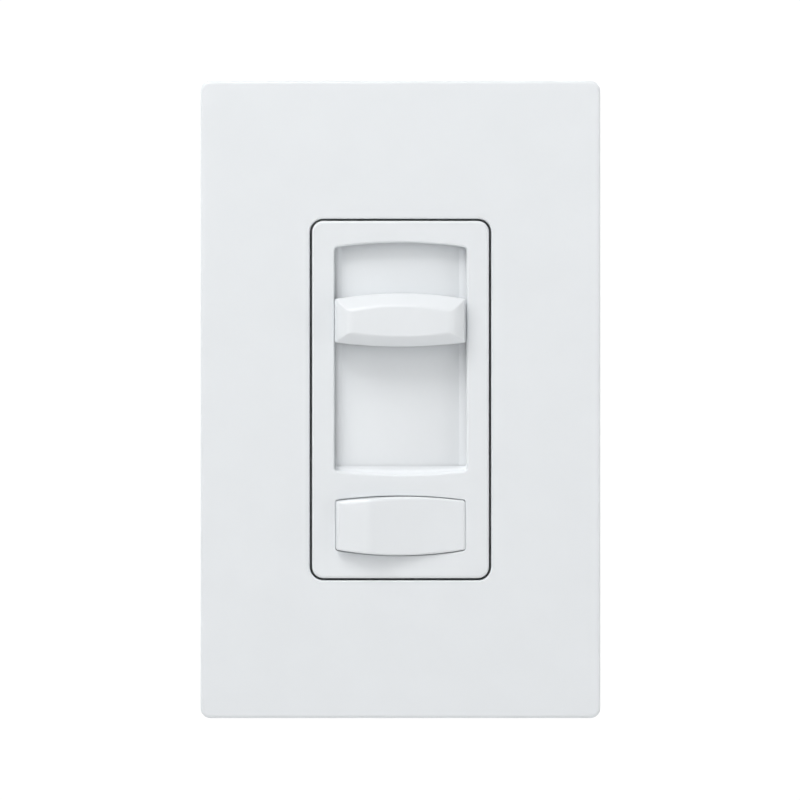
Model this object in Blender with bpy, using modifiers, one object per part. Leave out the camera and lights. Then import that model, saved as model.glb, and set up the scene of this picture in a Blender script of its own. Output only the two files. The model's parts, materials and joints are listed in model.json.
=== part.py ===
"""One-gang slide dimmer with a preset rocker, a screwless wall plate and its insides.

Lengths below are in millimetres and the model is built in metres. +X is to the right of someone
facing the wall, +Z is up, and the front faces -Y. The wall's surface is y = 0, and the origin is
the centre of the wall plate on it.
"""

import math

import bmesh
import bpy
from mathutils import Matrix, Vector

MM = 0.001
GAP = 0.3

# Wall plate and its opening
PLATE_WIDTH = 74.7
PLATE_HEIGHT = 119.1
PLATE_FRONT = -7.6
PLATE_WALL = 1.7
PLATE_CORNER = 1.9
PLATE_EDGE = 0.7
OPENING_WIDTH = 33.9
OPENING_HEIGHT = 67.5
OPENING_CORNER = 2.5
HOLLOW_CORNER = 0.8
CATCH_Z = 42.0
CATCH_LENGTH = 8.0
CATCH_REACH = 0.9
COVER_CATCH_Y = (-2.2, -1.0)
ADAPTER_CATCH_Y = (-4.1, -2.6)

# Adapter plate under the wall plate
ADAPTER_WIDTH = 68.5
ADAPTER_HEIGHT = 112.5
ADAPTER_FRONT = -5.3
ADAPTER_BACK = -3.9
ADAPTER_SEAT = -4.3
ADAPTER_RIM = 1.2
ADAPTER_RIM_BACK = -0.4
ADAPTER_CORNER = 2.0
ADAPTER_OPENING = (35.3, 69.2, 3.0)
ADAPTER_BOSS = 2.9
COUNTERBORE = 3.25
ACCESS_HOLE = 2.6

# Screws, as (head radius, head height), (shank radius, shank length)
ADAPTER_SCREW = (2.9, 1.0), (1.7, 9.0)
MOUNTING_SCREW = (3.5, 1.7), (1.7, 24.0)
GROUNDING_SCREW = (3.3, 1.8), (1.7, 5.5)
HOUSING_SCREW = (2.1, 1.3), (1.2, 10.0)
TERMINAL_SCREW = (3.0, 1.8), (1.55, 5.2)
MACHINE_HOLE = 2.05
TAPPING_HOLE = 1.55
SLOT_HALF = 0.4

# Yoke and screw spacings
YOKE_FRONT = -1.5
YOKE_WIDTH = 44.4
YOKE_HEIGHT = 105.0
YOKE_FIN_WIDTH = 59.0
YOKE_FIN_HEIGHT = 54.0
BOX_SCREW_Z = 83.3 / 2
PLATE_SCREW_Z = 96.8 / 2
GROUND_SCREW = (-14.5, -38.5)
RIVET = (11.5, 20.5)

# Bezel
BEZEL_WIDTH = 33.0
BEZEL_HEIGHT = 66.7
BEZEL_FRONT = -8.0
BEZEL_BACK = YOKE_FRONT - GAP
BEZEL_SKIN = 1.3
BEZEL_WALL = 1.5
BEZEL_CORNER = 2.1
BEZEL_EDGE = 0.5
SKIN_BACK = BEZEL_FRONT + BEZEL_SKIN
BEZEL_POST = (14.1, 30.2)
POST_RADIUS = 1.1
POST_HOLE = 1.4
CRADLE_HALF = 3.2
CRADLES = [(-31.0, -29.6), (-17.4, -16.0)]
PIN_SPANS = [(-30.4, -27.6), (-19.2, -16.5)]
PIN_RADIUS = 1.05
PIN_BORE = 1.35
BORE_SPAN = (-30.7, -16.2)

# Slider window: its half width, the heights of its corners, and how far its edges bow
WINDOW_HALF = 12.35
WINDOW_TOP = 28.4
WINDOW_TOP_BOW = 0.95
WINDOW_BOTTOM = -13.3
WINDOW_BOTTOM_BOW = 0.75
WINDOW_BOTTOM_SLOPE = 1.9
FLOOR_FRONT = -5.4
FLOOR_BACK = -4.4
FLOOR_HALF = 12.7
FLOOR_SPAN = (-15.8, 31.2)
FLOOR_FOOT = 2.5

# Slider knob, shown at its place in the window
KNOB_HALF = 11.9
KNOB_TOP = 18.75
KNOB_TOP_BOW = 1.05
KNOB_BOTTOM = 10.65
KNOB_BOTTOM_BOW = 0.75
KNOB_Z = 14.87
KNOB_FRONT = -12.5
KNOB_SHOULDER = -10.0
KNOB_BACK = FLOOR_FRONT - GAP
KNOB_FACETS = (2.1, 2.35, 1.7)
KNOB_EDGE = 0.35
KNOB_WALLS = (1.8, 1.6, 1.6)
WING_HALF = 3.0
WING_BACK = -4.9
CARRIAGE_HALF = 2.6
CARRIAGE_BACK = -3.3
WING_TAB = (13.0, 14.4)
LEG = (13.2, 14.0)
PEG = (13.5, 13.9)
SLIDE_UP = 9.0
SLIDE_DOWN = 21.6

# Rocker, with its right half pressed in
ROCKER_HALF = 12.3
ROCKER_OPENING_HALF = 12.45
ROCKER_TOP = -18.9
ROCKER_TOP_BOW = 0.8
ROCKER_BOTTOM = -28.05
ROCKER_BOTTOM_BOW = 1.0
ROCKER_GAP = 0.18
ROCKER_BACK = -4.4
PIVOT_X = 0.0
PIVOT_Y = -5.6
PIVOT_Z = -23.4
ROCK_ANGLE = 10.0
RIDGE_X = -6.4
RIDGE_PROUD = 2.6
LEFT_PROUD = 1.7
RIGHT_PROUD = 0.3
ROCKER_EDGE = 0.4
ROCKER_POCKET = -6.9
STEM_RADIUS = 2.7
STEM_BORE = 1.75

# Switch behind the rocker
STEM_LEAN = math.radians(ROCK_ANGLE / 2)
SEESAW_Y = 8.7
SEESAW_TILT = math.radians(-6.0)
SEESAW_HALF = 6.5
STRIP_Y = (11.4, 12.4)
STRIP_Z = (-24.9, -21.9)

# Back housing, board and potentiometer
HOUSING_WIDTH = 44.0
HOUSING_HEIGHT = 66.0
HOUSING_FRONT = GAP
HOUSING_BACK = 30.5
HOUSING_WALL = 1.8
HOUSING_CORNER = 2.0
HOUSING_EDGE = 1.2
HOUSING_SCREWS = [(x, z) for x in (-19.0, 19.0) for z in (-29.6, 29.6)]
POCKET_Z = -22.5
POCKET_Y = 15.0
BOARD_FRONT = 14.0
BOARD_BACK = 15.6
BOARD_TOP = BOARD_BACK + GAP
POT_Z = KNOB_Z + (SLIDE_UP - SLIDE_DOWN) / 2
POT_LENGTH = 44.0
POT_HALF = 4.5
POT_FRONT = 0.6
POT_BACK = 5.5


# ---------------------------------------------------------------- scene and materials

def clear_scene():
    """Remove everything that a new file starts with."""
    for item in list(bpy.data.objects):
        bpy.data.objects.remove(item, do_unlink=True)


def new_collection(name):
    """Make a collection and put it in the scene."""
    collection = bpy.data.collections.new(name)
    bpy.context.scene.collection.children.link(collection)
    return collection


def material(name, colour, roughness, metallic=0.0):
    """A Principled material of one colour."""
    made = bpy.data.materials.new(name)
    made.use_nodes = True
    shader = made.node_tree.nodes["Principled BSDF"]
    shader.inputs["Base Color"].default_value = (*colour, 1.0)
    shader.inputs["Roughness"].default_value = roughness
    shader.inputs["Metallic"].default_value = metallic
    return made


# ---------------------------------------------------------------- outlines, as (x, z) points

def rounded_rect(width, height, radius, centre=(0.0, 0.0), steps=4):
    """A rectangle with round corners, anticlockwise from its upper right corner."""
    points = []
    inner_x = width / 2 - radius
    inner_z = height / 2 - radius
    for quarter, (sign_x, sign_z) in enumerate([(1, 1), (-1, 1), (-1, -1), (1, -1)]):
        for step in range(steps + 1):
            angle = (quarter + step / steps) * math.pi / 2
            x = centre[0] + sign_x * inner_x + radius * math.cos(angle)
            z = centre[1] + sign_z * inner_z + radius * math.sin(angle)
            points.append((x, z))
    return points


def circle(centre, radius, steps=20):
    """A circle's points, anticlockwise."""
    turns = [2 * math.pi * step / steps for step in range(steps)]
    return [(centre[0] + radius * math.cos(a), centre[1] + radius * math.sin(a)) for a in turns]


def arched(half, top, top_bow, bottom, bottom_bow, steps=12):
    """Straight sides between an upper edge that bows up and a lower edge that bows down."""
    across = [half - 2 * half * step / steps for step in range(steps + 1)]
    upper = [(x, top + top_bow * (1 - (x / half) ** 2)) for x in across]
    lower = [(-x, bottom - bottom_bow * (1 - (x / half) ** 2)) for x in across]
    return upper + lower


# ---------------------------------------------------------------- meshes, in metres

def finish_mesh(name, bm, smooth=False):
    """Turn a bmesh in millimetres into a mesh in metres with its faces pointing out."""
    bmesh.ops.recalc_face_normals(bm, faces=bm.faces)
    bmesh.ops.scale(bm, vec=(MM, MM, MM), verts=bm.verts)
    mesh = bpy.data.meshes.new(name)
    bm.to_mesh(mesh)
    bm.free()
    if smooth:
        mesh.shade_smooth()
        mesh.set_sharp_from_angle(angle=math.radians(35))
    return mesh


def boxes(*corner_pairs):
    """One mesh of separate boxes, each from its lowest to its highest corner."""
    bm = bmesh.new()
    for low, high in corner_pairs:
        middle = [(a + b) / 2 for a, b in zip(low, high)]
        size = [b - a for a, b in zip(low, high)]
        place = Matrix.Translation(middle) @ Matrix.Diagonal((*size, 1.0))
        bmesh.ops.create_cube(bm, size=1.0, matrix=place)
    return finish_mesh("boxes", bm)


def rods(*ends_and_radii, steps=20):
    """One mesh of separate round bars, each given as its start, its end and its radii there."""
    bm = bmesh.new()
    for start, end, *radii in ends_and_radii:
        axis = Vector(end) - Vector(start)
        middle = (Vector(start) + Vector(end)) / 2
        turn = axis.to_track_quat("Z", "Y").to_matrix().to_4x4()
        bmesh.ops.create_cone(
            bm,
            cap_ends=True,
            segments=steps,
            radius1=radii[0],
            radius2=radii[-1],
            depth=axis.length,
            matrix=Matrix.Translation(middle) @ turn,
        )
    return finish_mesh("rods", bm, smooth=True)


def loft(rings):
    """A solid through rings of (y, outline), whose outlines all have as many points."""
    bm = bmesh.new()
    rows = [[bm.verts.new((x, y, z)) for x, z in outline] for y, outline in rings]
    for row, after in zip(rows, rows[1:]):
        for index in range(len(row)):
            follow = (index + 1) % len(row)
            bm.faces.new((row[index], row[follow], after[follow], after[index]))
    bm.faces.new(rows[0])
    bm.faces.new(rows[-1])
    return finish_mesh("loft", bm)


def rounded_front(width, height, corner, back, front, edge, steps=3):
    """A block whose front edge is rounded: rings that draw in as they near the front."""
    rings = [(back, rounded_rect(width, height, corner))]
    for step in range(steps + 1):
        angle = math.pi / 2 * step / steps
        inset = edge * (1 - math.cos(angle))
        y = front + math.copysign(edge, back - front) * (1 - math.sin(angle))
        rings.append((y, rounded_rect(width - 2 * inset, height - 2 * inset, corner - inset)))
    return loft(rings)


def plate(outlines, front, back):
    """A flat plate between two depths: its first outline is its rim, the others are holes."""
    curve = bpy.data.curves.new("outline", "CURVE")
    curve.dimensions = "2D"
    curve.fill_mode = "BOTH"
    curve.extrude = (back - front) / 2 * MM
    for outline in outlines:
        spline = curve.splines.new("POLY")
        spline.points.add(len(outline) - 1)
        for point, (x, z) in zip(spline.points, outline):
            point.co = (x * MM, z * MM, 0.0, 1.0)
        spline.use_cyclic_u = True
    flat = bpy.data.objects.new("outline", curve)
    flat.rotation_euler.x = math.pi / 2
    flat.location.y = (front + back) / 2 * MM
    return curve_to_mesh(flat)


def curve_to_mesh(made):
    """The mesh of a curve object, in world space and with its caps welded on."""
    bpy.context.scene.collection.objects.link(made)
    bpy.context.view_layer.update()
    seen = made.evaluated_get(bpy.context.evaluated_depsgraph_get())
    mesh = bpy.data.meshes.new_from_object(seen)
    mesh.transform(made.matrix_world)
    bpy.data.objects.remove(made, do_unlink=True)
    bm = bmesh.new()
    bm.from_mesh(mesh)
    bmesh.ops.remove_doubles(bm, verts=bm.verts, dist=0.001 * MM)
    bmesh.ops.recalc_face_normals(bm, faces=bm.faces)
    bm.to_mesh(mesh)
    bm.free()
    return mesh


def wire(points, radius):
    """The mesh of a round wire through points, with its ends closed."""
    curve = bpy.data.curves.new("wire", "CURVE")
    curve.dimensions = "3D"
    curve.bevel_depth = radius * MM
    curve.bevel_resolution = 2
    curve.use_fill_caps = True
    spline = curve.splines.new("POLY")
    spline.points.add(len(points) - 1)
    for point, (x, y, z) in zip(spline.points, points):
        point.co = (x * MM, y * MM, z * MM, 1.0)
    return curve_to_mesh(bpy.data.objects.new("wire", curve))


# ---------------------------------------------------------------- objects

def add_piece(name, mesh, finish):
    """Put a mesh in the model as a named piece."""
    mesh.name = name
    mesh.materials.clear()
    mesh.materials.append(finish)
    piece = bpy.data.objects.new(name, mesh)
    PARTS.objects.link(piece)
    return piece


def combine(piece, mesh, operation):
    """Join a mesh to a piece, cut it away, or keep only what both hold."""
    tool = bpy.data.objects.new(f"{piece.name}_{operation.lower()}", mesh)
    tool.hide_render = True
    tool.display_type = "WIRE"
    CUTTERS.objects.link(tool)
    modifier = piece.modifiers.new(tool.name, "BOOLEAN")
    modifier.operation = operation
    modifier.solver = "EXACT"
    modifier.object = tool


def join(piece, *meshes):
    """Add meshes to a piece's solid."""
    for mesh in meshes:
        combine(piece, mesh, "UNION")


def cut(piece, *meshes):
    """Take meshes out of a piece's solid."""
    for mesh in meshes:
        combine(piece, mesh, "DIFFERENCE")


def soften(piece, width, segments=2):
    """Round a piece's edges."""
    bevel = piece.modifiers.new("round_edges", "BEVEL")
    bevel.width = width * MM
    bevel.segments = segments
    bevel.limit_method = "ANGLE"


def turned(name, profile, finish, place, direction, steps=20):
    """A round piece. Its profile is (radius, height) from the top down, and up is direction."""
    mesh = bpy.data.meshes.new(name)
    mesh.from_pydata(
        [(radius * MM, 0.0, height * MM) for radius, height in profile],
        [(index, index + 1) for index in range(len(profile) - 1)],
        [],
    )
    piece = add_piece(name, mesh, finish)
    piece.location = [value * MM for value in place]
    piece.rotation_euler = Vector(direction).to_track_quat("Z", "Y").to_euler()
    screw = piece.modifiers.new("turn", "SCREW")
    screw.axis = "Z"
    screw.steps = steps
    screw.render_steps = steps
    screw.use_merge_vertices = True
    screw.merge_threshold = 0.01 * MM
    return piece


def pan_screw(name, place, direction, head, shank, finish, steps=20):
    """A slotted pan-head screw. place is under its head, and its head points along direction."""
    head_radius, head_height = head
    shank_radius, shank_length = shank
    profile = [
        (0.0, head_height),
        (head_radius * 0.72, head_height),
        (head_radius, head_height * 0.45),
        (head_radius, 0.0),
        (shank_radius, 0.0),
        (shank_radius, -shank_length + shank_radius * 0.5),
        (shank_radius * 0.5, -shank_length),
        (0.0, -shank_length),
    ]
    piece = turned(name, profile, finish, place, direction, steps)
    up = Vector(direction)
    top = Vector(place) + up * head_height
    long = head_radius + 1.0
    deep = head_height * 0.45
    half = Vector((SLOT_HALF, SLOT_HALF, long)) if abs(up.x) > 0.5 else Vector((long, SLOT_HALF, SLOT_HALF))
    half = half + Vector([abs(value) for value in up]) * (deep - SLOT_HALF)
    cut(piece, boxes((tuple(top - half), tuple(top + half))))
    return piece


def set_origin(piece, place):
    """Move a piece's origin to a place, with its shape left where it is."""
    offset = Vector(place) * MM
    piece.data.transform(Matrix.Translation(-offset))
    piece.location = offset


def hang(name, place, pieces):
    """Put moving pieces under an empty on their joint's axis."""
    pivot = bpy.data.objects.new(name, None)
    pivot.location = Vector(place) * MM
    PARTS.objects.link(pivot)
    bpy.context.view_layer.update()
    for piece in pieces:
        piece.parent = pivot
        piece.matrix_parent_inverse = pivot.matrix_world.inverted()


# ---------------------------------------------------------------- wall plate and adapter

def make_cover_plate():
    """The snap-on cover: an open-backed shell with a window, and catches inside its long walls."""
    mesh = rounded_front(PLATE_WIDTH, PLATE_HEIGHT, PLATE_CORNER, 0.0, PLATE_FRONT, PLATE_EDGE)
    cover = add_piece("cover_plate", mesh, WHITE)
    inner_width = PLATE_WIDTH - 2 * PLATE_WALL
    inner_height = PLATE_HEIGHT - 2 * PLATE_WALL
    inside = PLATE_FRONT + PLATE_WALL
    hollow = rounded_rect(inner_width, inner_height, HOLLOW_CORNER)
    opening = rounded_rect(OPENING_WIDTH, OPENING_HEIGHT, OPENING_CORNER)
    cut(cover, plate([hollow], inside, 1.0), plate([opening], PLATE_FRONT - 1, inside + 1))
    tip = inner_width / 2 - CATCH_REACH
    for side in (-1, 1):
        reach = sorted((side * tip, side * (inner_width / 2 + 0.5)))
        for z in (-CATCH_Z, CATCH_Z):
            low = (reach[0], COVER_CATCH_Y[0], z - CATCH_LENGTH / 2)
            high = (reach[1], COVER_CATCH_Y[1], z + CATCH_LENGTH / 2)
            join(cover, boxes((low, high)))


def make_adapter_plate():
    """The tray that the cover snaps onto, screwed to the yoke's ears."""
    outer = rounded_rect(ADAPTER_WIDTH, ADAPTER_HEIGHT, ADAPTER_CORNER)
    inner_width = ADAPTER_WIDTH - 2 * ADAPTER_RIM
    inner_height = ADAPTER_HEIGHT - 2 * ADAPTER_RIM
    inner = rounded_rect(inner_width, inner_height, HOLLOW_CORNER)
    opening = rounded_rect(*ADAPTER_OPENING)
    adapter = add_piece("adapter_plate", plate([outer], ADAPTER_FRONT, ADAPTER_RIM_BACK), WHITE_INNER)
    cut(adapter, plate([inner], ADAPTER_BACK, 1.0))
    bosses = []
    catches = []
    screw_holes = []
    access_holes = []
    counterbores = []
    for side in (-1, 1):
        z = side * PLATE_SCREW_Z
        bosses.append(((0.0, ADAPTER_BACK - 0.5, z), (0.0, BEZEL_BACK, z), ADAPTER_BOSS))
        screw_holes.append(((0.0, ADAPTER_FRONT - 1, z), (0.0, 0.0, z), MACHINE_HOLE))
        counterbores.append(((0.0, ADAPTER_FRONT - 1, z), (0.0, ADAPTER_SEAT, z), COUNTERBORE))
        z = side * BOX_SCREW_Z
        access_holes.append(((0.0, ADAPTER_FRONT - 1, z), (0.0, 0.0, z), ACCESS_HOLE))
        edge = sorted((side * (ADAPTER_WIDTH / 2 - 0.5), side * (ADAPTER_WIDTH / 2 + CATCH_REACH)))
        for z in (-CATCH_Z, CATCH_Z):
            low = (edge[0], ADAPTER_CATCH_Y[0], z - CATCH_LENGTH / 2)
            high = (edge[1], ADAPTER_CATCH_Y[1], z + CATCH_LENGTH / 2)
            catches.append((low, high))
    join(adapter, rods(*bosses), boxes(*catches))
    cut(adapter, plate([opening], ADAPTER_FRONT - 1, 0.0), rods(*screw_holes, *access_holes))
    cut(adapter, rods(*counterbores))


def make_adapter_screws():
    """Two low-headed screws that hold the adapter plate to the yoke."""
    for name, side in (("upper", 1), ("lower", -1)):
        place = (0.0, ADAPTER_SEAT - GAP, side * PLATE_SCREW_Z)
        pan_screw(f"adapter_screw_{name}", place, (0, -1, 0), *ADAPTER_SCREW, STEEL)


# ---------------------------------------------------------------- bezel and slider

def window_outline(grow=0.0, bottom_rise=0.0):
    """The slider window's outline, with its bottom edge raised by bottom_rise."""
    return arched(
        WINDOW_HALF + grow,
        WINDOW_TOP + grow,
        WINDOW_TOP_BOW,
        WINDOW_BOTTOM - grow + bottom_rise,
        WINDOW_BOTTOM_BOW,
    )


def make_bezel():
    """The dimmer's front frame, with the slider window, the rocker's opening and its cradles."""
    mesh = rounded_front(
        BEZEL_WIDTH, BEZEL_HEIGHT, BEZEL_CORNER, BEZEL_BACK, BEZEL_FRONT, BEZEL_EDGE
    )
    bezel = add_piece("bezel", mesh, WHITE)
    hollow = rounded_rect(BEZEL_WIDTH - 2 * BEZEL_WALL, BEZEL_HEIGHT - 2 * BEZEL_WALL, HOLLOW_CORNER)
    cut(bezel, plate([hollow], SKIN_BACK, 0.0))
    lip_front = SKIN_BACK - 0.4
    lip_back = KNOB_BACK
    lip_half = BEZEL_WIDTH / 2 - 1.0
    join(bezel, boxes(
        ((-lip_half, lip_front, 27.7), (lip_half, lip_back, BEZEL_HEIGHT / 2 - 1.0)),
        ((-lip_half, lip_front, -16.8), (lip_half, lip_back, -11.0)),
    ))
    for side in (-1, 1):
        for z in (-BEZEL_POST[1], BEZEL_POST[1]):
            x = side * BEZEL_POST[0]
            join(bezel, rods(((x, lip_front, z), (x, -0.2, z), POST_RADIUS), steps=16))
    cradle_back = PIVOT_Y + 1.7
    for low, high in CRADLES:
        join(bezel, boxes(((-CRADLE_HALF, lip_front, low), (CRADLE_HALF, cradle_back, high))))
    cut(bezel, make_window_cutter())
    opening = arched(
        ROCKER_OPENING_HALF,
        ROCKER_TOP + ROCKER_GAP,
        ROCKER_TOP_BOW,
        ROCKER_BOTTOM - ROCKER_GAP,
        ROCKER_BOTTOM_BOW,
    )
    cut(bezel, plate([opening], BEZEL_FRONT - 1, lip_back + 1))
    low, high = BORE_SPAN
    cut(bezel, rods(((0.0, PIVOT_Y, low), (0.0, PIVOT_Y, high), PIN_BORE)))
    cut(bezel, boxes(((-1.2, PIVOT_Y, low), (1.2, cradle_back + 1, high))))


def make_window_cutter():
    """The space in front of the slider's floor: straight above and at the sides, sloped below."""
    back_rise = WINDOW_BOTTOM_SLOPE
    slope = back_rise / (KNOB_BACK - BEZEL_FRONT)
    front = BEZEL_FRONT - 1.0
    back = KNOB_BACK + 0.5
    rings = [(y, window_outline(bottom_rise=slope * (y - BEZEL_FRONT))) for y in (front, back)]
    return loft(rings)


def make_floor_panel():
    """The recessed floor behind the knob, standing on the yoke by a foot at each end."""
    half = FLOOR_HALF
    low_z, high_z = FLOOR_SPAN
    panel = add_piece(
        "floor_panel",
        boxes(((-half, FLOOR_FRONT, low_z), (half, FLOOR_BACK, high_z))),
        WHITE,
    )
    foot = FLOOR_BACK - 0.5
    join(panel, boxes(
        ((-half + 1, foot, low_z), (half - 1, BEZEL_BACK, low_z + FLOOR_FOOT)),
        ((-half + 1, foot, high_z - FLOOR_FOOT), (half - 1, BEZEL_BACK, high_z)),
    ))


def knob_outline(inset_side=0.0, inset_top=0.0, inset_bottom=0.0):
    """The knob's outline, drawn in from its sides, its top and its bottom."""
    return arched(
        KNOB_HALF - inset_side,
        KNOB_TOP - inset_top,
        KNOB_TOP_BOW,
        KNOB_BOTTOM + inset_bottom,
        KNOB_BOTTOM_BOW,
    )


def make_slider_knob():
    """The knob: a bowed bar with broad sloped facets, and wings that run under the bezel."""
    rings = [
        (KNOB_BACK, knob_outline()),
        (KNOB_SHOULDER, knob_outline()),
        (KNOB_FRONT, knob_outline(*KNOB_FACETS)),
    ]
    knob = add_piece("slider_knob", loft(rings), WHITE)
    soften(knob, KNOB_EDGE)
    pocket = knob_outline(*KNOB_WALLS)
    cut(knob, plate([pocket], KNOB_SHOULDER, KNOB_BACK + 1))
    wing_front = SKIN_BACK + GAP
    for side in (-1, 1):
        neck = sorted((side * (KNOB_HALF - 0.8), side * WING_TAB[1]))
        tab = sorted((side * WING_TAB[0], side * WING_TAB[1]))
        low = KNOB_Z - WING_HALF
        high = KNOB_Z + WING_HALF
        join(knob, boxes(((neck[0], wing_front, low), (neck[1], KNOB_BACK, high))))
        join(knob, boxes(((tab[0], wing_front, low), (tab[1], WING_BACK, high))))
        hole = sorted((side * (PEG[0] - 0.2), side * (PEG[1] + 0.2)))
        cut(knob, boxes(((hole[0], -7.0, KNOB_Z - 1.8), (hole[1], -4.0, KNOB_Z + 1.8))))
    return knob


def make_slider_carriage():
    """The bar behind the floor: its ends are pegged into the knob's wings."""
    back = CARRIAGE_BACK
    front = FLOOR_BACK + GAP
    low = KNOB_Z - CARRIAGE_HALF
    high = KNOB_Z + CARRIAGE_HALF
    bar = boxes(((-LEG[1], front, low), (LEG[1], back, high)))
    carriage = add_piece("slider_carriage", bar, NYLON)
    for side in (-1, 1):
        leg = sorted((side * LEG[0], side * LEG[1]))
        peg = sorted((side * PEG[0], side * PEG[1]))
        join(carriage, boxes(((leg[0], -4.6, low), (leg[1], back - 0.2, high))))
        join(carriage, boxes(((peg[0], -6.0, KNOB_Z - 1.5), (peg[1], back - 0.4, KNOB_Z + 1.5))))
    cut(carriage, boxes(((-1.0, -5.0, KNOB_Z - 1.6), (1.0, -2.5, KNOB_Z + 1.6))))
    return carriage


# ---------------------------------------------------------------- potentiometer

def make_potentiometer():
    """A straight potentiometer on the yoke's back: case, track board and the moving wiper."""
    half = POT_HALF
    front = POT_FRONT
    back = POT_BACK
    low = POT_Z - POT_LENGTH / 2
    high = POT_Z + POT_LENGTH / 2
    case = add_piece("pot_case", boxes(((-half, front, low), (half, back, high))), STEEL)
    cut(case, boxes(((-3.7, front + 0.8, low + 0.8), (3.7, back + 1, high - 0.8))))
    slot_low = KNOB_Z - SLIDE_DOWN - 1.7
    slot_high = KNOB_Z + SLIDE_UP + 1.7
    cut(case, boxes(((-1.0, front - 1, slot_low), (1.0, front + 2, slot_high))))
    track = add_piece("pot_track", boxes(((-half, back + GAP, low), (half, 7.0, high))), BOARD_BROWN)
    for x, z in ((-2.5, low + 2), (2.5, low + 2), (0.0, high - 2)):
        join(track, boxes(((x - 0.4, 6.5, z - 0.3), (x + 0.4, BOARD_FRONT - GAP, z + 0.3))))
    block = boxes(((-3.2, 2.0, KNOB_Z - 3.4), (3.2, 4.4, KNOB_Z + 3.4)))
    wiper = add_piece("pot_wiper", block, NYLON)
    join(wiper, boxes(((-0.6, FLOOR_BACK + 0.5, KNOB_Z - 1.2), (0.6, 2.5, KNOB_Z + 1.2))))
    join(wiper, boxes(
        ((-2.4, 4.0, KNOB_Z - 1.0), (-1.4, back, KNOB_Z + 1.0)),
        ((1.4, 4.0, KNOB_Z - 1.0), (2.4, back, KNOB_Z + 1.0)),
    ))
    return wiper


# ---------------------------------------------------------------- rocker and switch

def rocker_proud(x):
    """How far the rocker's face stands proud of the bezel: up to a soft ridge, then falling away."""
    if x < RIDGE_X:
        share = (x + ROCKER_HALF) / (RIDGE_X + ROCKER_HALF)
        return LEFT_PROUD + (RIDGE_PROUD - LEFT_PROUD) * math.sin(share * math.pi / 2)
    share = (ROCKER_HALF - x) / (ROCKER_HALF - RIDGE_X)
    return RIGHT_PROUD + (RIDGE_PROUD - RIGHT_PROUD) * share * share * (1.9 - 0.9 * share)


def make_rocker_paddle():
    """The rocker: a bowed bar across the opening, on pins at its top and bottom, with a stem."""
    bm = bmesh.new()
    stations = 16
    reach = ROCKER_HALF + 0.6
    edge = ROCKER_EDGE
    sections = []
    for station in range(stations + 1):
        x = -reach + 2 * reach * station / stations
        bow = 1 - (x / ROCKER_HALF) ** 2
        top = ROCKER_TOP + ROCKER_TOP_BOW * bow
        bottom = ROCKER_BOTTOM - ROCKER_BOTTOM_BOW * bow
        front = BEZEL_FRONT - rocker_proud(min(max(x, -ROCKER_HALF), ROCKER_HALF))
        round_in = edge * (1 - math.sqrt(0.5))
        section = [
            (ROCKER_BACK, top),
            (front + edge, top),
            (front + round_in, top - round_in),
            (front, top - edge),
            (front, bottom + edge),
            (front + round_in, bottom + round_in),
            (front + edge, bottom),
            (ROCKER_BACK, bottom),
        ]
        sections.append([bm.verts.new((x, y, z)) for y, z in section])
    for section, after in zip(sections, sections[1:]):
        for index in range(len(section)):
            follow = (index + 1) % len(section)
            bm.faces.new((section[index], section[follow], after[follow], after[index]))
    bm.faces.new(sections[0])
    bm.faces.new(sections[-1])
    paddle = add_piece("rocker_paddle", finish_mesh("rocker", bm), WHITE)
    above = (PIVOT_X, PIVOT_Y, 0.0)
    below = (PIVOT_X, PIVOT_Y, -50.0)
    combine(paddle, rods((below, above, ROCKER_HALF), steps=96), "INTERSECT")
    hollow = arched(ROCKER_HALF - 2.0, ROCKER_TOP - 0.9, 0.4, ROCKER_BOTTOM + 0.9, 0.4)
    cut(paddle, plate([hollow], ROCKER_POCKET, ROCKER_BACK + 1))
    join(paddle, rods((stem_point(-1.6), stem_point(8.6), STEM_RADIUS)))
    join(paddle, boxes(((-1.0, -7.2, ROCKER_BOTTOM + 0.4), (1.0, -4.8, ROCKER_TOP - 0.4))))
    cut(paddle, rods((stem_point(2.5), stem_point(9.6), STEM_BORE), steps=16))
    for start, end in PIN_SPANS:
        join(paddle, rods(((0.0, PIVOT_Y, start), (0.0, PIVOT_Y, end), PIN_RADIUS), steps=16))
    set_origin(paddle, (PIVOT_X, PIVOT_Y, PIVOT_Z))
    return paddle


def stem_point(distance):
    """A point along the rocker's stem, which leans so that it swings evenly about straight."""
    x = PIVOT_X - distance * math.sin(STEM_LEAN)
    y = PIVOT_Y + distance * math.cos(STEM_LEAN)
    return (x, y, PIVOT_Z)


def make_toggle():
    """The sprung plunger in the stem, which tips the see-saw as the rocker turns."""
    direction = Vector(stem_point(1.0)) - Vector(stem_point(0.0))
    profile = [
        (0.0, 12.9), (0.5, 12.75), (0.85, 12.3), (0.9, 10.8), (1.4, 10.3), (1.4, 6.7), (0.0, 6.7),
    ]
    plunger = turned("toggle_plunger", profile, NYLON, stem_point(0.0), direction, 16)
    start = Vector(stem_point(0.0))
    along = direction.normalized()
    across = along.cross(Vector((0, 0, 1)))
    turns = 5
    points = []
    for step in range(turns * 12 + 1):
        angle = 2 * math.pi * step / 12
        rise = 3.1 + 3.0 * step / (turns * 12)
        spot = start + along * rise
        spot += (across * math.cos(angle) + Vector((0, 0, 1)) * math.sin(angle)) * 1.2
        points.append(tuple(spot))
    spring = add_piece("toggle_spring", wire(points, 0.22), STEEL)
    return [plunger, spring]


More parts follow.
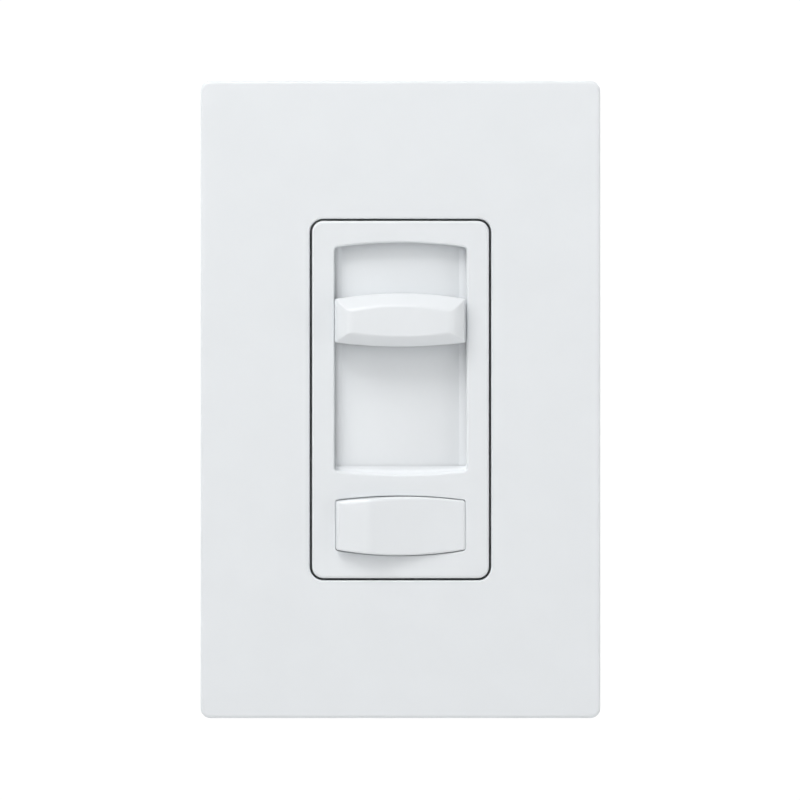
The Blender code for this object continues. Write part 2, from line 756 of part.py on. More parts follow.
def make_contact_seesaw():
    """The contact that the plunger tips: a bronze bar with a button under one end."""
    low_z = PIVOT_Z - 2.0
    high_z = PIVOT_Z + 2.0
    bar = boxes(((-SEESAW_HALF, -0.9, low_z), (SEESAW_HALF, -0.3, high_z)))
    button = rods(((-5.3, -0.5, PIVOT_Z), (-5.3, 0.2, PIVOT_Z), 1.2), steps=16)
    place = Matrix.Translation((0, SEESAW_Y * MM, 0)) @ Matrix.Rotation(SEESAW_TILT, 4, "Z")
    bar.transform(place)
    button.transform(place)
    seesaw = add_piece("contact_seesaw", bar, BRONZE)
    join(seesaw, button)
    set_origin(seesaw, (0.0, SEESAW_Y, PIVOT_Z))
    return seesaw


def make_terminals():
    """Line terminal under the see-saw, load terminal to the board, their screws and clamps."""
    strip = STRIP_Y
    strip_z = STRIP_Z
    line = add_piece("line_terminal", terminal_plate(-1), BRASS)
    join(line, boxes(((-18.0, strip[0], strip_z[0]), (0.6, strip[1], strip_z[1]))))
    join(line, boxes(((-0.5, SEESAW_Y, strip_z[0] + 0.2), (0.5, strip[0] + 0.5, strip_z[1] - 0.2))))
    load = add_piece("load_terminal", terminal_plate(1), BRASS)
    join(load, boxes(((12.2, strip[0], strip_z[0]), (18.0, strip[1], strip_z[1]))))
    join(load, boxes(((12.5, strip[0] + 0.1, strip_z[1] - 0.5), (14.0, strip[1] - 0.1, -12.0))))
    join(load, boxes(((12.6, strip[1] - 0.3, -13.2), (13.9, BOARD_FRONT - GAP, -12.2))))
    for terminal, side in ((line, -1), (load, 1)):
        inner = (side * 15.0, POCKET_Y, POCKET_Z)
        outer = (side * 23.0, POCKET_Y, POCKET_Z)
        cut(terminal, rods((inner, outer, 1.9)))
        name = terminal.name.split("_")[0]
        place = (side * 20.0, POCKET_Y, POCKET_Z)
        pan_screw(f"{name}_screw", place, (side, 0, 0), *TERMINAL_SCREW, BRASS)
        reach = sorted((side * 18.8, side * 19.7))
        low = (reach[0], POCKET_Y - 3.3, POCKET_Z - 3.3)
        high = (reach[1], POCKET_Y + 3.3, POCKET_Z + 3.3)
        clamp = add_piece(f"{name}_clamp", boxes((low, high)), STEEL)
        cut(clamp, rods((inner, outer, 1.9)))


def terminal_plate(side):
    """The square plate under a terminal's screw."""
    reach = sorted((side * 17.5, side * 18.5))
    low = (reach[0], POCKET_Y - 3.9, POCKET_Z - 3.7)
    high = (reach[1], POCKET_Y + 3.9, POCKET_Z + 3.7)
    return boxes((low, high))


def make_fixed_contact():
    """The strip that the see-saw's button closes onto, running up to the board."""
    front = 9.95
    back = 10.75
    contact = add_piece("fixed_contact", boxes(((-7.2, front, -25.4), (-3.4, back, -12.0))), BRONZE)
    join(contact, boxes(((-6.6, back - 0.3, -13.2), (-4.0, BOARD_FRONT - GAP, -12.2))))


# ---------------------------------------------------------------- yoke and its screws

def make_yoke():
    """The metal strap and heat sink, with break-off fins at its sides."""
    half = YOKE_WIDTH / 2
    fin = YOKE_FIN_WIDTH / 2
    fin_z = YOKE_FIN_HEIGHT / 2
    end = YOKE_HEIGHT / 2
    corner = 5.0
    quarter = [(fin, fin_z - 2), (fin - 2, fin_z), (half, fin_z + 2)]
    for step in range(5):
        angle = math.pi / 2 * step / 4
        x = half - corner + corner * math.cos(angle)
        quarter.append((x, end - corner + corner * math.sin(angle)))
    left = [(-x, z) for x, z in reversed(quarter)]
    upper = quarter + left
    rim = upper + [(-x, -z) for x, z in upper]
    holes = [circle((0.0, side * PLATE_SCREW_Z), MACHINE_HOLE) for side in (-1, 1)]
    holes += [rounded_rect(7.0, 4.3, 2.1, (0.0, side * BOX_SCREW_Z)) for side in (-1, 1)]
    holes += [circle(spot, TAPPING_HOLE, 16) for spot in HOUSING_SCREWS]
    for x in (-BEZEL_POST[0], BEZEL_POST[0]):
        holes += [circle((x, z), POST_HOLE, 16) for z in (-BEZEL_POST[1], BEZEL_POST[1])]
    slot_height = SLIDE_UP + SLIDE_DOWN + 5.0
    holes.append(rounded_rect(3.6, slot_height, 1.5, (0.0, POT_Z)))
    holes.append(rounded_rect(13.0, 9.4, 1.5, (0.0, PIVOT_Z)))
    holes.append(circle(RIVET, 1.8, 16))
    holes.append(circle(GROUND_SCREW, MACHINE_HOLE))
    for x in (-half - 0.6, half + 0.6):
        holes += [rounded_rect(0.9, 7.0, 0.4, (x, z), 2) for z in (-18.0, -6.0, 6.0, 18.0)]
    add_piece("yoke", plate([rim, *holes], YOKE_FRONT, 0.0), ALUMINIUM)


def make_yoke_screws():
    """Box mounting screws with their captive washers, the ground screw and the housing screws."""
    for name, side in (("upper", 1), ("lower", -1)):
        z = side * BOX_SCREW_Z
        place = (0.0, YOKE_FRONT - GAP, z)
        pan_screw(f"mounting_screw_{name}", place, (0, -1, 0), *MOUNTING_SCREW, STEEL)
        ring = [rounded_rect(9.0, 9.0, 1.0, (0.0, z), 2), circle((0.0, z), MACHINE_HOLE)]
        add_piece(f"screw_washer_{name}", plate(ring, GAP, GAP + 0.8), FIBRE)
    place = (GROUND_SCREW[0], YOKE_FRONT - GAP, GROUND_SCREW[1])
    pan_screw("ground_screw", place, (0, -1, 0), *GROUNDING_SCREW, GREEN)
    for number, (x, z) in enumerate(HOUSING_SCREWS, start=1):
        place = (x, YOKE_FRONT - GAP, z)
        pan_screw(f"housing_screw_{number}", place, (0, -1, 0), *HOUSING_SCREW, STEEL, 16)


# ---------------------------------------------------------------- back housing

def make_back_housing():
    """The insulating box behind the yoke, with screw bosses, board rests and terminal pockets."""
    size = (HOUSING_WIDTH, HOUSING_HEIGHT, HOUSING_CORNER)
    mesh = rounded_front(*size, HOUSING_FRONT, HOUSING_BACK, HOUSING_EDGE)
    housing = add_piece("back_housing", mesh, HOUSING_GREY)
    inner_width = HOUSING_WIDTH - 2 * HOUSING_WALL
    inner_height = HOUSING_HEIGHT - 2 * HOUSING_WALL
    hollow = rounded_rect(inner_width, inner_height, HOLLOW_CORNER)
    cut(housing, plate([hollow], -1.0, HOUSING_BACK - HOUSING_WALL))
    bosses = [((x, HOUSING_FRONT, z), (x, 11.0, z), 2.7) for x, z in HOUSING_SCREWS]
    join(housing, rods(*bosses))
    outer = HOUSING_WIDTH / 2
    inner = inner_width / 2
    for side in (-1, 1):
        block = sorted((side * 15.2, side * (inner + 0.6)))
        join(housing, boxes(((block[0], 9.0, -28.4), (block[1], HOUSING_BACK - 1, -16.6))))
        rest = sorted((side * 18.4, side * (inner + 0.6)))
        join(housing, boxes(
            ((rest[0], BOARD_TOP, -9.0), (rest[1], HOUSING_BACK - 1, -7.0)),
            ((rest[0], BOARD_TOP, 25.0), (rest[1], HOUSING_BACK - 1, 27.0)),
        ))
        pocket = sorted((side * 17.2, side * (outer + 1)))
        cut(housing, boxes(((pocket[0], 10.7, -26.6), (pocket[1], 19.3, -18.4))))
        channel = sorted((side * 18.6, side * (outer + 1)))
        cut(housing, boxes(((channel[0], 18.5, -24.2), (channel[1], HOUSING_BACK + 1, -20.8))))
        slot = sorted((side * 14.5, side * 17.8))
        cut(housing, boxes(((slot[0], 11.0, -25.3), (slot[1], 12.8, -21.5))))
        start = (side * 14.0, POCKET_Y, POCKET_Z)
        cut(housing, rods((start, (side * 18.0, POCKET_Y, POCKET_Z), 1.9)))
    holes = [((x, -1.0, z), (x, 9.6, z), 1.5) for x, z in HOUSING_SCREWS]
    cut(housing, rods(*holes, steps=16))


# ---------------------------------------------------------------- electronics

def make_circuit_board():
    """The board across the upper part of the housing."""
    outline = rounded_rect(39.2, 43.4, 1.0, (0.0, 9.1), 2)
    add_piece("circuit_board", plate([outline], BOARD_FRONT, BOARD_BACK), BOARD_GREEN)


def make_triac():
    """The power triac on the yoke's back, with its insulator and rivet."""
    x, z = RIVET
    hole = ((x, -3.0, z), (x, 4.0, z), 1.85)
    sheet = [rounded_rect(12.0, 18.0, 0.5, (x, 16.2), 1), circle(RIVET, 1.85, 16)]
    add_piece("triac_insulator", plate(sheet, GAP, GAP + 0.3), FIBRE)
    triac = add_piece("triac", boxes(((x - 5, 0.9, 8.5), (x + 5, 2.2, 24.0))), STEEL)
    join(triac, boxes(((x - 4.9, 1.0, 8.6), (x + 4.9, 5.2, 17.2))))
    for offset in (-2.5, 0.0, 2.5):
        leg = x + offset
        join(triac, boxes(((leg - 0.4, 2.6, 5.2), (leg + 0.4, 3.2, 9.0))))
        join(triac, boxes(((leg - 0.35, 2.7, 5.3), (leg + 0.35, BOARD_FRONT - GAP, 5.9))))
    cut(triac, rods(hole, steps=16))
    profile = [
        (0.0, 0.7), (2.0, 0.7), (2.7, 0.0), (1.5, 0.0), (1.5, -4.3), (2.6, -4.3),
        (2.6, -4.9), (0.0, -4.9),
    ]
    turned("triac_rivet", profile, STEEL, (x, YOKE_FRONT - GAP, z), (0, -1, 0), 16)


def make_choke():
    """The filter choke: a drum core and the winding round its waist."""
    place = (-8.8, BOARD_TOP, 19.6)
    core = [
        (0.0, 11.6), (8.0, 11.6), (8.0, 9.8), (3.4, 9.8), (3.4, 1.8), (8.0, 1.8), (8.0, 0.0), (0.0, 0.0),
    ]
    turned("choke_core", core, FERRITE, place, (0, 1, 0), 28)
    ring = [(3.7, 9.5), (7.3, 9.5), (7.3, 2.1), (3.7, 2.1), (3.7, 9.5)]
    turned("choke_winding", ring, COPPER, place, (0, 1, 0), 28)


def make_capacitors():
    """The film capacitor across the line, the trigger capacitor and the surge varistor."""
    film = add_piece("film_capacitor", boxes(((2.4, BOARD_TOP, 19.6), (17.4, 26.6, 28.4))), YELLOW)
    soften(film, 0.5)
    small = add_piece("trigger_capacitor", boxes(((9.6, BOARD_TOP, 12.6), (16.6, 22.2, 15.6))), RED)
    soften(small, 0.4)
    disc = ((4.4, 21.6, 9.4), (4.4, 21.6, 12.8), 4.2)
    varistor = add_piece("varistor", rods(disc), BLUE)
    soften(varistor, 0.5)
    for x in (2.0, 6.8):
        join(varistor, rods(((x, BOARD_TOP, 11.1), (x, 20.6, 11.1), 0.35), steps=8))


def make_axial(name, place, length, radius, span, finish, waist=1.0):
    """A part with a lead at each end, bent down to the board. It lies along X."""
    x, z = place
    y = BOARD_TOP + radius + 0.6
    half = length / 2
    profile = [
        (0.0, half), (radius * 0.7, half), (radius, half * 0.8), (radius, half * 0.5),
        (radius * waist, half * 0.35), (radius * waist, -half * 0.35), (radius, -half * 0.5),
        (radius, -half * 0.8), (radius * 0.7, -half), (0.0, -half),
    ]
    piece = turned(name, profile, finish, (x, y, z), (1, 0, 0), 12)
    reach = span / 2
    points = [(x - reach, BOARD_TOP, z), (x - reach, y, z), (x + reach, y, z), (x + reach, BOARD_TOP, z)]
    join(piece, wire(points, 0.3))


def make_small_parts():
    """The diac that fires the triac, and three resistors."""
    make_axial("diac", (13.2, 5.6), 4.2, 1.0, 8.0, GLASS_RED)
    for number, z in enumerate((4.4, -0.6, -5.6), start=1):
        make_axial(f"resistor_{number}", (-9.6, z), 6.4, 1.25, 11.0, TAN, 0.85)


# ---------------------------------------------------------------- build

clear_scene()
PARTS = new_collection("slide_dimmer")
CUTTERS = new_collection("cutters")

WHITE = material("white_gloss_plastic", (0.84, 0.86, 0.88), 0.28)
WHITE_INNER = material("white_matte_plastic", (0.80, 0.81, 0.82), 0.5)
NYLON = material("natural_nylon", (0.78, 0.77, 0.72), 0.45)
ALUMINIUM = material("yoke_aluminium", (0.62, 0.63, 0.64), 0.38, 1.0)
STEEL = material("zinc_steel", (0.56, 0.57, 0.58), 0.32, 1.0)
GREEN = material("green_steel", (0.05, 0.32, 0.10), 0.4, 0.6)
BRASS = material("brass", (0.74, 0.56, 0.26), 0.3, 1.0)
BRONZE = material("contact_bronze", (0.66, 0.42, 0.25), 0.32, 1.0)
COPPER = material("winding_copper", (0.60, 0.26, 0.12), 0.35, 0.9)
HOUSING_GREY = material("housing_thermoplastic", (0.09, 0.09, 0.10), 0.55)
FIBRE = material("fibre_sheet", (0.42, 0.30, 0.20), 0.8)
BOARD_GREEN = material("circuit_board", (0.05, 0.20, 0.10), 0.45)
BOARD_BROWN = material("track_board", (0.30, 0.18, 0.09), 0.55)
FERRITE = material("ferrite", (0.07, 0.07, 0.075), 0.7)
YELLOW = material("yellow_case", (0.76, 0.55, 0.10), 0.4)
RED = material("red_case", (0.50, 0.09, 0.06), 0.4)
BLUE = material("blue_epoxy", (0.06, 0.16, 0.42), 0.35)
GLASS_RED = material("diac_glass", (0.34, 0.10, 0.06), 0.15)
TAN = material("resistor_lacquer", (0.62, 0.47, 0.30), 0.45)

make_cover_plate()
make_adapter_plate()
make_adapter_screws()
make_bezel()
make_floor_panel()
slider = [make_slider_knob(), make_slider_carriage(), make_potentiometer()]
rocker = [make_rocker_paddle(), *make_toggle()]
seesaw = make_contact_seesaw()
make_terminals()
make_fixed_contact()
make_yoke()
make_yoke_screws()
make_back_housing()
make_circuit_board()
make_triac()
make_choke()
make_capacitors()
make_small_parts()

hang("slider_guide", (0.0, KNOB_BACK, KNOB_Z), slider)
hang("rocker_pivot", (PIVOT_X, PIVOT_Y, PIVOT_Z), rocker)
hang("seesaw_pivot", (0.0, SEESAW_Y, PIVOT_Z), [seesaw])
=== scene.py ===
"""Looks of the slide dimmer: fine surfaces, materials, studio light and camera.

Outlines and profiles are in millimetres, like the names in capitals, and a mesh is turned into
metres when it is finished. +X is right, +Z is up and the front faces -Y.
"""

import json
import math

import bmesh
import bpy
from mathutils import Matrix, Vector

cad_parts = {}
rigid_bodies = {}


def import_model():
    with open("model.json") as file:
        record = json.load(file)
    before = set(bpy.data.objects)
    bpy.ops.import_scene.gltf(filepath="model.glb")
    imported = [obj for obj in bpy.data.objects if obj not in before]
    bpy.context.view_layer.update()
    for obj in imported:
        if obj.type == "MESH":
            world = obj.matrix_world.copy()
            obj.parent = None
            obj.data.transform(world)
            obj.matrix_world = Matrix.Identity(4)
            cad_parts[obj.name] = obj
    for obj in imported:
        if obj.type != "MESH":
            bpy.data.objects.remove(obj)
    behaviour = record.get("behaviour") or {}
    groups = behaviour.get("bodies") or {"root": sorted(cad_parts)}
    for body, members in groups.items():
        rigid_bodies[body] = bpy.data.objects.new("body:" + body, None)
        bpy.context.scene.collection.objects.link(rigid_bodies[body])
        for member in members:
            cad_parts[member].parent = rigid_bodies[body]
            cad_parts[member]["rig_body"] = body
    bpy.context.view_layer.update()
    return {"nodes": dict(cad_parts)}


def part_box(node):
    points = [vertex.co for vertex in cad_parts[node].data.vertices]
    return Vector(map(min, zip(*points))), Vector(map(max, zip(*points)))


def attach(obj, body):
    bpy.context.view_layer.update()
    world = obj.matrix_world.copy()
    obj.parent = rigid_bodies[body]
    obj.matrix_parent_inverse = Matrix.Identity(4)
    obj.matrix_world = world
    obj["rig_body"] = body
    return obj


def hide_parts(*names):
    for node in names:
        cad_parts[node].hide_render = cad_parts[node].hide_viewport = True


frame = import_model()
NODES = frame["nodes"]

MM = 0.001
GAP = 0.3
WELD_DISTANCE = 0.0005
SHARP_ANGLE = 35.0
FACE_POINT = 0.05
SOFT_EDGE = 0.12
HOUSING_SOFT_EDGE = 0.18
INNER_CORNER = 0.8
BEYOND = 1.0
MERGE = 0.001
FLAT_ANGLE = 0.6
BEVEL_ANGLE = 40.0


def span(node):
    """A CAD node's lowest and highest corners, in millimetres."""
    low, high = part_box(node)
    return low / MM, high / MM


# Wall plate
PLATE_LOW, PLATE_HIGH = span("cover_plate")
PLATE_WALL = 1.7
PLATE_CORNER = 1.9
PLATE_EDGE = 0.7
OPENING = (33.9, 67.5)
OPENING_CORNER = 2.5
OPENING_EDGE = 0.3
PLATE_LIP = 0.15
CATCH_Z = 42.0
CATCH_HALF = 4.0
CATCH_TIP = 0.9
CATCH_DEEP = 1.4
CATCH_BACKS = (-2.2, -1.0)

# Bezel, with its slider window and its rocker opening: (level, bow) of each bowed edge
BEZEL_LOW, BEZEL_HIGH = span("bezel")
BEZEL_FRONT = BEZEL_LOW.y
BEZEL_SKIN_BACK = -5.7
FLOOR_HALF = 12.9
BEZEL_WALL = 1.5
BEZEL_CORNER = 2.1
BEZEL_EDGE = 0.5
BEZEL_POST = (14.1, 30.2)
POST_RADIUS = 1.1
POST_BACK = -0.2
POST_SUNK = 0.4
CRADLE_HALF = 3.2
CRADLE_DEEP = 1.7
CRADLE_SUNK = 0.5
CRADLES_Z = ((-17.4, -16.0), (-31.0, -29.6))
BEARING_Z = (-30.7, -16.2)
BEARING_RADIUS = 1.35
BEARING_SLOT = 1.2
WINDOW_EDGE = 0.4
WINDOW_HALF = 12.35
WINDOW_TOP = (28.4, 0.95)
WINDOW_BOTTOM = (-13.3, 0.75)
WINDOW_CORNER = 0.55
LEAST_BOW = 0.05
RAMP_RISE = 0.9
RAMP_CURVE = 3.0
RAMP_STEPS = 8
RAIL_FRONT = -6.3
RAIL_HALF = 14.6
RAIL_ENDS = (-11.0, 27.7)
ROCKER_HOLE_EDGE = 0.2
ROCKER_HOLE_STEPS = 4

# Floor behind the slider: its skin, its grooves' (inner, outer, deep, slope) and its feet
FLOOR_SKIN = 1.0
GROOVE = (10.75, 11.15, 0.04, 0.12)
FLOOR_FEET = (1.0, 2.5, 0.3)

# Slider knob, its flared ends and the wings that run in the rails. Insets: side, top, bottom
KNOB_HALF = 11.9
KNOB_TOP = (18.75, 1.05)
KNOB_BOTTOM = (10.65, 0.75)
KNOB_CORNER = 0.35
KNOB_Z = 14.87
KNOB_FRONT = span("slider_knob")[0].y
KNOB_SHOULDER = -10.0
KNOB_BACK = BEZEL_SKIN_BACK
KNOB_INSETS = (2.5, 2.35, 1.7)
KNOB_END_EASE = 1.8
KNOB_CORNER_EASE = 0.4
KNOB_FACE_MARGIN = 0.05
NECK_SUNK = 0.8
WING_FRONT = RAIL_FRONT + 0.15
WING_HALF = 3.0
WING_TAB = (13.0, 14.4)
TAB_EASE = 0.1
TAB_BACK = -4.9
PEG_HOLE = (13.3, 14.1)
PEG_HOLE_HALF = 1.8
PEG_HOLE_DEPTHS = (-7.0, -4.0)
KNOB_FLARE = 0.38
FLARE_FRONT = -7.65
FLARE_TIP = -8.9
FLARE_STEPS = 5
KNOB_ROUND = 0.4
KNOB_WALL = 1.7

# Rocker. The stem and its bore are (start, end, radius) from the pivot
ROCKER_HALF = 12.3
ROCKER_SWEEP = 12.36
ROCKER_TOP = (-18.9, 0.8)
ROCKER_BOTTOM = (-28.05, 1.0)
ROCKER_GAP = 0.13
ROCKER_CORNER = 0.45
ROCKER_EDGE = 0.45
ROCKER_BACK = -4.4
PIVOT = Vector((0.0, -5.6, -23.4))
RIDGE_X = -6.4
RIDGE_PROUD = 2.6
LEFT_PROUD = 1.7
RIGHT_PROUD = 0.3
RIDGE_CURVE = 1.6
RIDGE_SOFT = 0.25
TOP_ROUND = (0.25, 0.36, 0.45)
ROCKER_WALL_SHARES = (0.25, 0.5, 0.75, 1.0)
HOLLOW_INSETS = (2.0, 0.9)
HOLLOW_BOW = 0.4
HOLLOW_CORNER = 0.5
HOLLOW_FRONT = -6.9
STEM_LEAN = 5.0
STEM = (-1.6, 8.6, 2.7)
BORE = (2.5, 9.6, 1.75)
RIB_HALF = 1.0
RIB_DEPTHS = (-7.2, -4.8)
RIB_INSET = 0.4
PINS_Z = ((-30.4, -27.6), (-19.2, -16.5))
PIN_RADIUS = 1.05

# Screws: places, and (radius, height) of each head and (radius, length) of each shank
BOX_SCREW_Z = 41.65
PLATE_SCREW_Z = 48.4
GROUND_SCREW = (-14.5, -38.5)
TERMINAL_SPOT = (20.0, 15.0, -22.5)
BOX_SCREW = ((3.5, 1.7), (1.7, 24.0))
PLATE_SCREW = ((2.9, 1.0), (1.7, 9.0))
GROUND_SIZE = ((3.3, 1.8), (1.7, 5.5))
TERMINAL_SIZE = ((3.0, 1.8), (1.55, 5.2))
PLATE_SCREW_SEAT = 1.0

# Screw threads, heads and driver recesses
THREAD_PITCH = 0.794
THREAD_DEPTH = 0.42
THREAD_ROWS = 5
THREAD_SIDES = 20
THREAD_FLANK = 1.35
THREAD_SUNK = 0.15
THREAD_ROOT = 0.85
THREAD_START = 0.2
TIP_TAPER = (0.6, 0.7)
HEAD_FLAT = 0.55
HEAD_CROWN = 0.985
HEAD_RIM = 0.3
HEAD_CHAMFER = 0.06
SLOT_HALF = 0.4
SLOT_DEEP = 0.45
CROSS_HALF = 0.35
CROSS_REACH = 0.62
CROSS_DEEP = 1.3

# Back housing. Bosses are (back, radius) and their holes (front, back, radius)
HOUSING_LOW, HOUSING_HIGH = span("back_housing")
HOUSING_CORNER = 2.0
HOUSING_EDGE = 1.2
HOUSING_WALL = 1.8
HOUSING_LIP = (0.25, 0.2)
HOUSING_SCREWS = [(x, z) for x in (-19.0, 19.0) for z in (-29.6, 29.6)]
BOSS = (11.0, 2.7)
BOSS_HOLE = (-1.0, 9.6, 1.5)
WALL_OVERLAP = 0.6
LABEL_SIZE = (30.0, 34.0)
LABEL_CORNER = 1.5
LABEL_CENTRE = (0.0, 6.0)
LABEL_DEEP = 0.35
# Inner x, then (y, z) of the lower front corner, then the top or (y, z) of the upper back corner
TERMINAL_BLOCK = (15.2, (9.0, -28.4), -16.6)
WIRE_CHANNEL = (18.6, (18.5, -24.2), -20.8)
TERMINAL_POCKET = (17.2, (10.7, -26.6), (19.3, -18.4))
STRAP_SLOT = ((14.5, 17.8), (11.0, -25.3), (12.8, -21.5))
# Inner x, front and thickness; inner x, outer x and radius
BOARD_REST = (18.4, 15.9, 2.0)
BOARD_RESTS_Z = (-9.0, 25.0)
TERMINAL_BORE = (14.0, 18.0, 1.9)

# Studio, in metres: each softbox's (place, size, power), and the surround's strength (front, back)
SOFTBOXES = {
    "key": ((-0.54, -0.72, 0.6), 0.96, 6.85),
    "high": ((-0.3, -0.675, 1.05), 0.51, 6.8),
    "right": ((0.8, -0.3, 0.05), 0.5, 1.35),
    "fill": ((0.6, -0.7, 0.5), 0.9, 1.4),
    "back": ((0.5, 0.8, 0.5), 0.6, 3.0),
}
AMBIENT = (0.01, 0.97)
AMBIENT_TURN = (-0.3, 0.4)
SEEN_WHITE = 1.05
FLOOR_COLOUR = (0.86, 0.86, 0.86)
FLOOR_ROUGHNESS = 0.9
FLOOR_Z = -0.5
FLOOR_REACH = 4.0
FLOOR_FADE = 4

# Camera: lens and sensor, the plate's share of the picture's height, and the aim off the centre
LENS = 200.0
SENSOR = 36.0
PLATE_SHARE = 0.7975
AIM = -0.09


# Materials: sizes and depths in millimetres, each size with its detail or a share
MIDDLE = (0.3, 0.7)
MOTTLE = (9.0, 0.985)
GLOSS = (2.5, 4.0)
GLOSS_SPREAD = (0.9, 1.1)
MOULD_WAVES = (6.0, 0.01)
LAY = (1.0, 1.0, 0.02)
STREAKS = (0.16, 3.0)
STREAK_SPREAD = (0.8, 1.25)
STREAK_DEPTH = 0.004
CLOUDS = (7.0, 3.0)
CLOUD_SHADE = 0.9
CLOUD_DEPTH = 0.02
WIRE = 0.5
# Painted shade: the share of the wire's colour left in the grooves between its turns
WIRE_GROOVE_SHADE = 0.45
WIRE_GLOSS = (1.5, 0.2, 0.34)
WIRE_METAL = 0.9
WAVE_TURN = 20.0  # radians in one unit of a wave texture
BAND_WIDTH = 0.07
BAND_LAST = 0.99
LACQUER_GLOSS = (1.2, 0.28, 0.42)
LACQUER_WAVES = (0.8, 0.03)
FLECK_DRAW = (1.0, 1.0, 0.4)
FLECKS = (0.35, 5.0)
FLECK_DEPTH = 0.02
FLECK_GLOSS = 2.0
TRACK_PITCH = 5.0
TRACK_EDGE = (0.42, 0.45)
TRACK_DEPTH = 0.035
TRACK_GLOSS = 3.0
TRACK_SPREAD = (0.85, 1.15)
WEAVE = (0.3, 0.004)


# ---------------------------------------------------------------- outlines, as (x, z) points

def rounded_rect(width, height, radius, centre=(0.0, 0.0), steps=10):
    """A rectangle with round corners, anticlockwise from its upper right corner."""
    points = []
    inner_x = width / 2 - radius
    inner_z = height / 2 - radius
    for quarter, (sign_x, sign_z) in enumerate([(1, 1), (-1, 1), (-1, -1), (1, -1)]):
        for step in range(steps + 1):
            angle = (quarter + step / steps) * math.pi / 2
            x = centre[0] + sign_x * inner_x + radius * math.cos(angle)
            z = centre[1] + sign_z * inner_z + radius * math.sin(angle)
            points.append((x, z))
    return points


def stations(half, corner, middle=36, arc=7):
    """Places across a width, from right to left, close together where the corners turn."""
    turns = [math.pi / 2 * step / arc for step in range(arc + 1)]
    right = [half - corner + corner * math.cos(turn) for turn in turns]
    inner = half - corner
    flat = [inner - 2 * inner * step / middle for step in range(1, middle)]
    return right + flat + [-x for x in reversed(right)]


def bowed(x, half, level, bow, corner):
    """Height of an edge that bows by bow at its middle and turns a round corner at its ends."""
    past = max(0.0, abs(x) - (half - corner))
    drop = corner - math.sqrt(max(0.0, corner * corner - past * past))
    return level + bow * (1 - (x / half) ** 2) - math.copysign(drop, bow)


def arched(half, top, bottom, corner):
    """Straight sides between an edge that bows up and one that bows down: (level, bow) each."""
    across = stations(half, corner)
    upper = [(x, bowed(x, half, top[0], top[1], corner)) for x in across]
    lower = [(-x, bowed(x, half, bottom[0], -bottom[1], corner)) for x in across]
    return upper + lower


def offset(outline, distance):
    """An anticlockwise outline moved out by distance, or in where distance is negative."""
    moved = []
    count = len(outline)
    for index, (x, z) in enumerate(outline):
        before = outline[index - 1]
        after = outline[(index + 1) % count]
        first = Vector((z - before[1], before[0] - x)).normalized()
        second = Vector((after[1] - z, x - after[0])).normalized()
        mitre = (first + second) / (1 + first.dot(second))
        moved.append((x + mitre.x * distance, z + mitre.y * distance))
    return moved


def quarter_round(radius, steps=7):
    """(inset, depth) from a face over its rounded edge to the wall, with one point on the face."""
    points = [(radius + FACE_POINT, 0.0)]
    for step in range(steps + 1):
        angle = math.pi / 2 * step / steps
        points.append((radius * (1 - math.sin(angle)), radius * (1 - math.cos(angle))))
    return points


# ---------------------------------------------------------------- meshes

def add_ring(bm, outline, y):
    """A closed ring of vertices at depth y, or at each point's own depth."""
    depths = y if isinstance(y, list) else [y] * len(outline)
    return [bm.verts.new((x, depth, z)) for (x, z), depth in zip(outline, depths)]


def skin(bm, rings):
    """Faces between each ring and the next."""
    for ring, after in zip(rings, rings[1:]):
        for index in range(len(ring)):
            follow = (index + 1) % len(ring)
            bm.faces.new((ring[index], ring[follow], after[follow], after[index]))


def ring_edges(bm, ring):
    """The edges round a ring."""
    return [bm.edges.get((ring[index - 1], ring[index])) for index in range(len(ring))]


def to_mesh(bm, name):
    """Finish a bmesh: weld, point its faces out, scale to metres and shade it."""
    bmesh.ops.remove_doubles(bm, verts=bm.verts, dist=WELD_DISTANCE)
    bmesh.ops.recalc_face_normals(bm, faces=bm.faces)
    bmesh.ops.scale(bm, vec=(MM, MM, MM), verts=bm.verts)
    mesh = bpy.data.meshes.new(name)
    bm.to_mesh(mesh)
    bm.free()
    shade(mesh)
    return mesh


def shade(mesh):
    """Smooth shading, with sharp edges kept crisp."""
    mesh.shade_smooth()
    mesh.set_sharp_from_angle(angle=math.radians(SHARP_ANGLE))


def panel(*rims):
    """A solid between a front and a back face. Each rim is rings of (y, outline), front first."""
    bm = bmesh.new()
    fronts = []
    backs = []
    for rim in rims:
        rings = [add_ring(bm, outline, y) for y, outline in rim]
        skin(bm, rings)
        fronts += ring_edges(bm, rings[0])
        backs += ring_edges(bm, rings[-1])
    bmesh.ops.triangle_fill(bm, edges=fronts, use_beauty=True)
    bmesh.ops.triangle_fill(bm, edges=backs, use_beauty=True)
    return to_mesh(bm, "panel")


def edge_rings(outline, front, radius, outward=1, steps=7):
    """Rings over a rounded front edge. outward is 1 for an outer rim and -1 for a hole's."""
    rings = []
    for inset, depth in quarter_round(radius, steps):
        rings.append((front + depth, offset(outline, -outward * inset)))
    return rings


def boxes(*corner_pairs, edge=0.0):
    """One mesh of separate boxes, each from its lowest to its highest corner."""
    bm = bmesh.new()
    for low, high in corner_pairs:
        middle = [(a + b) / 2 for a, b in zip(low, high)]
        size = [b - a for a, b in zip(low, high)]
        place = Matrix.Translation(middle) @ Matrix.Diagonal((*size, 1.0))
        bmesh.ops.create_cube(bm, size=1.0, matrix=place)
    if edge:
        bmesh.ops.bevel(bm, geom=bm.edges, offset=edge, segments=2, profile=0.5, affect="EDGES")
    return to_mesh(bm, "boxes")


def sided(side, near, far):
    """The lower and upper of two distances from the middle, on the side given by -1 or 1."""
    return sorted((side * near, side * far))


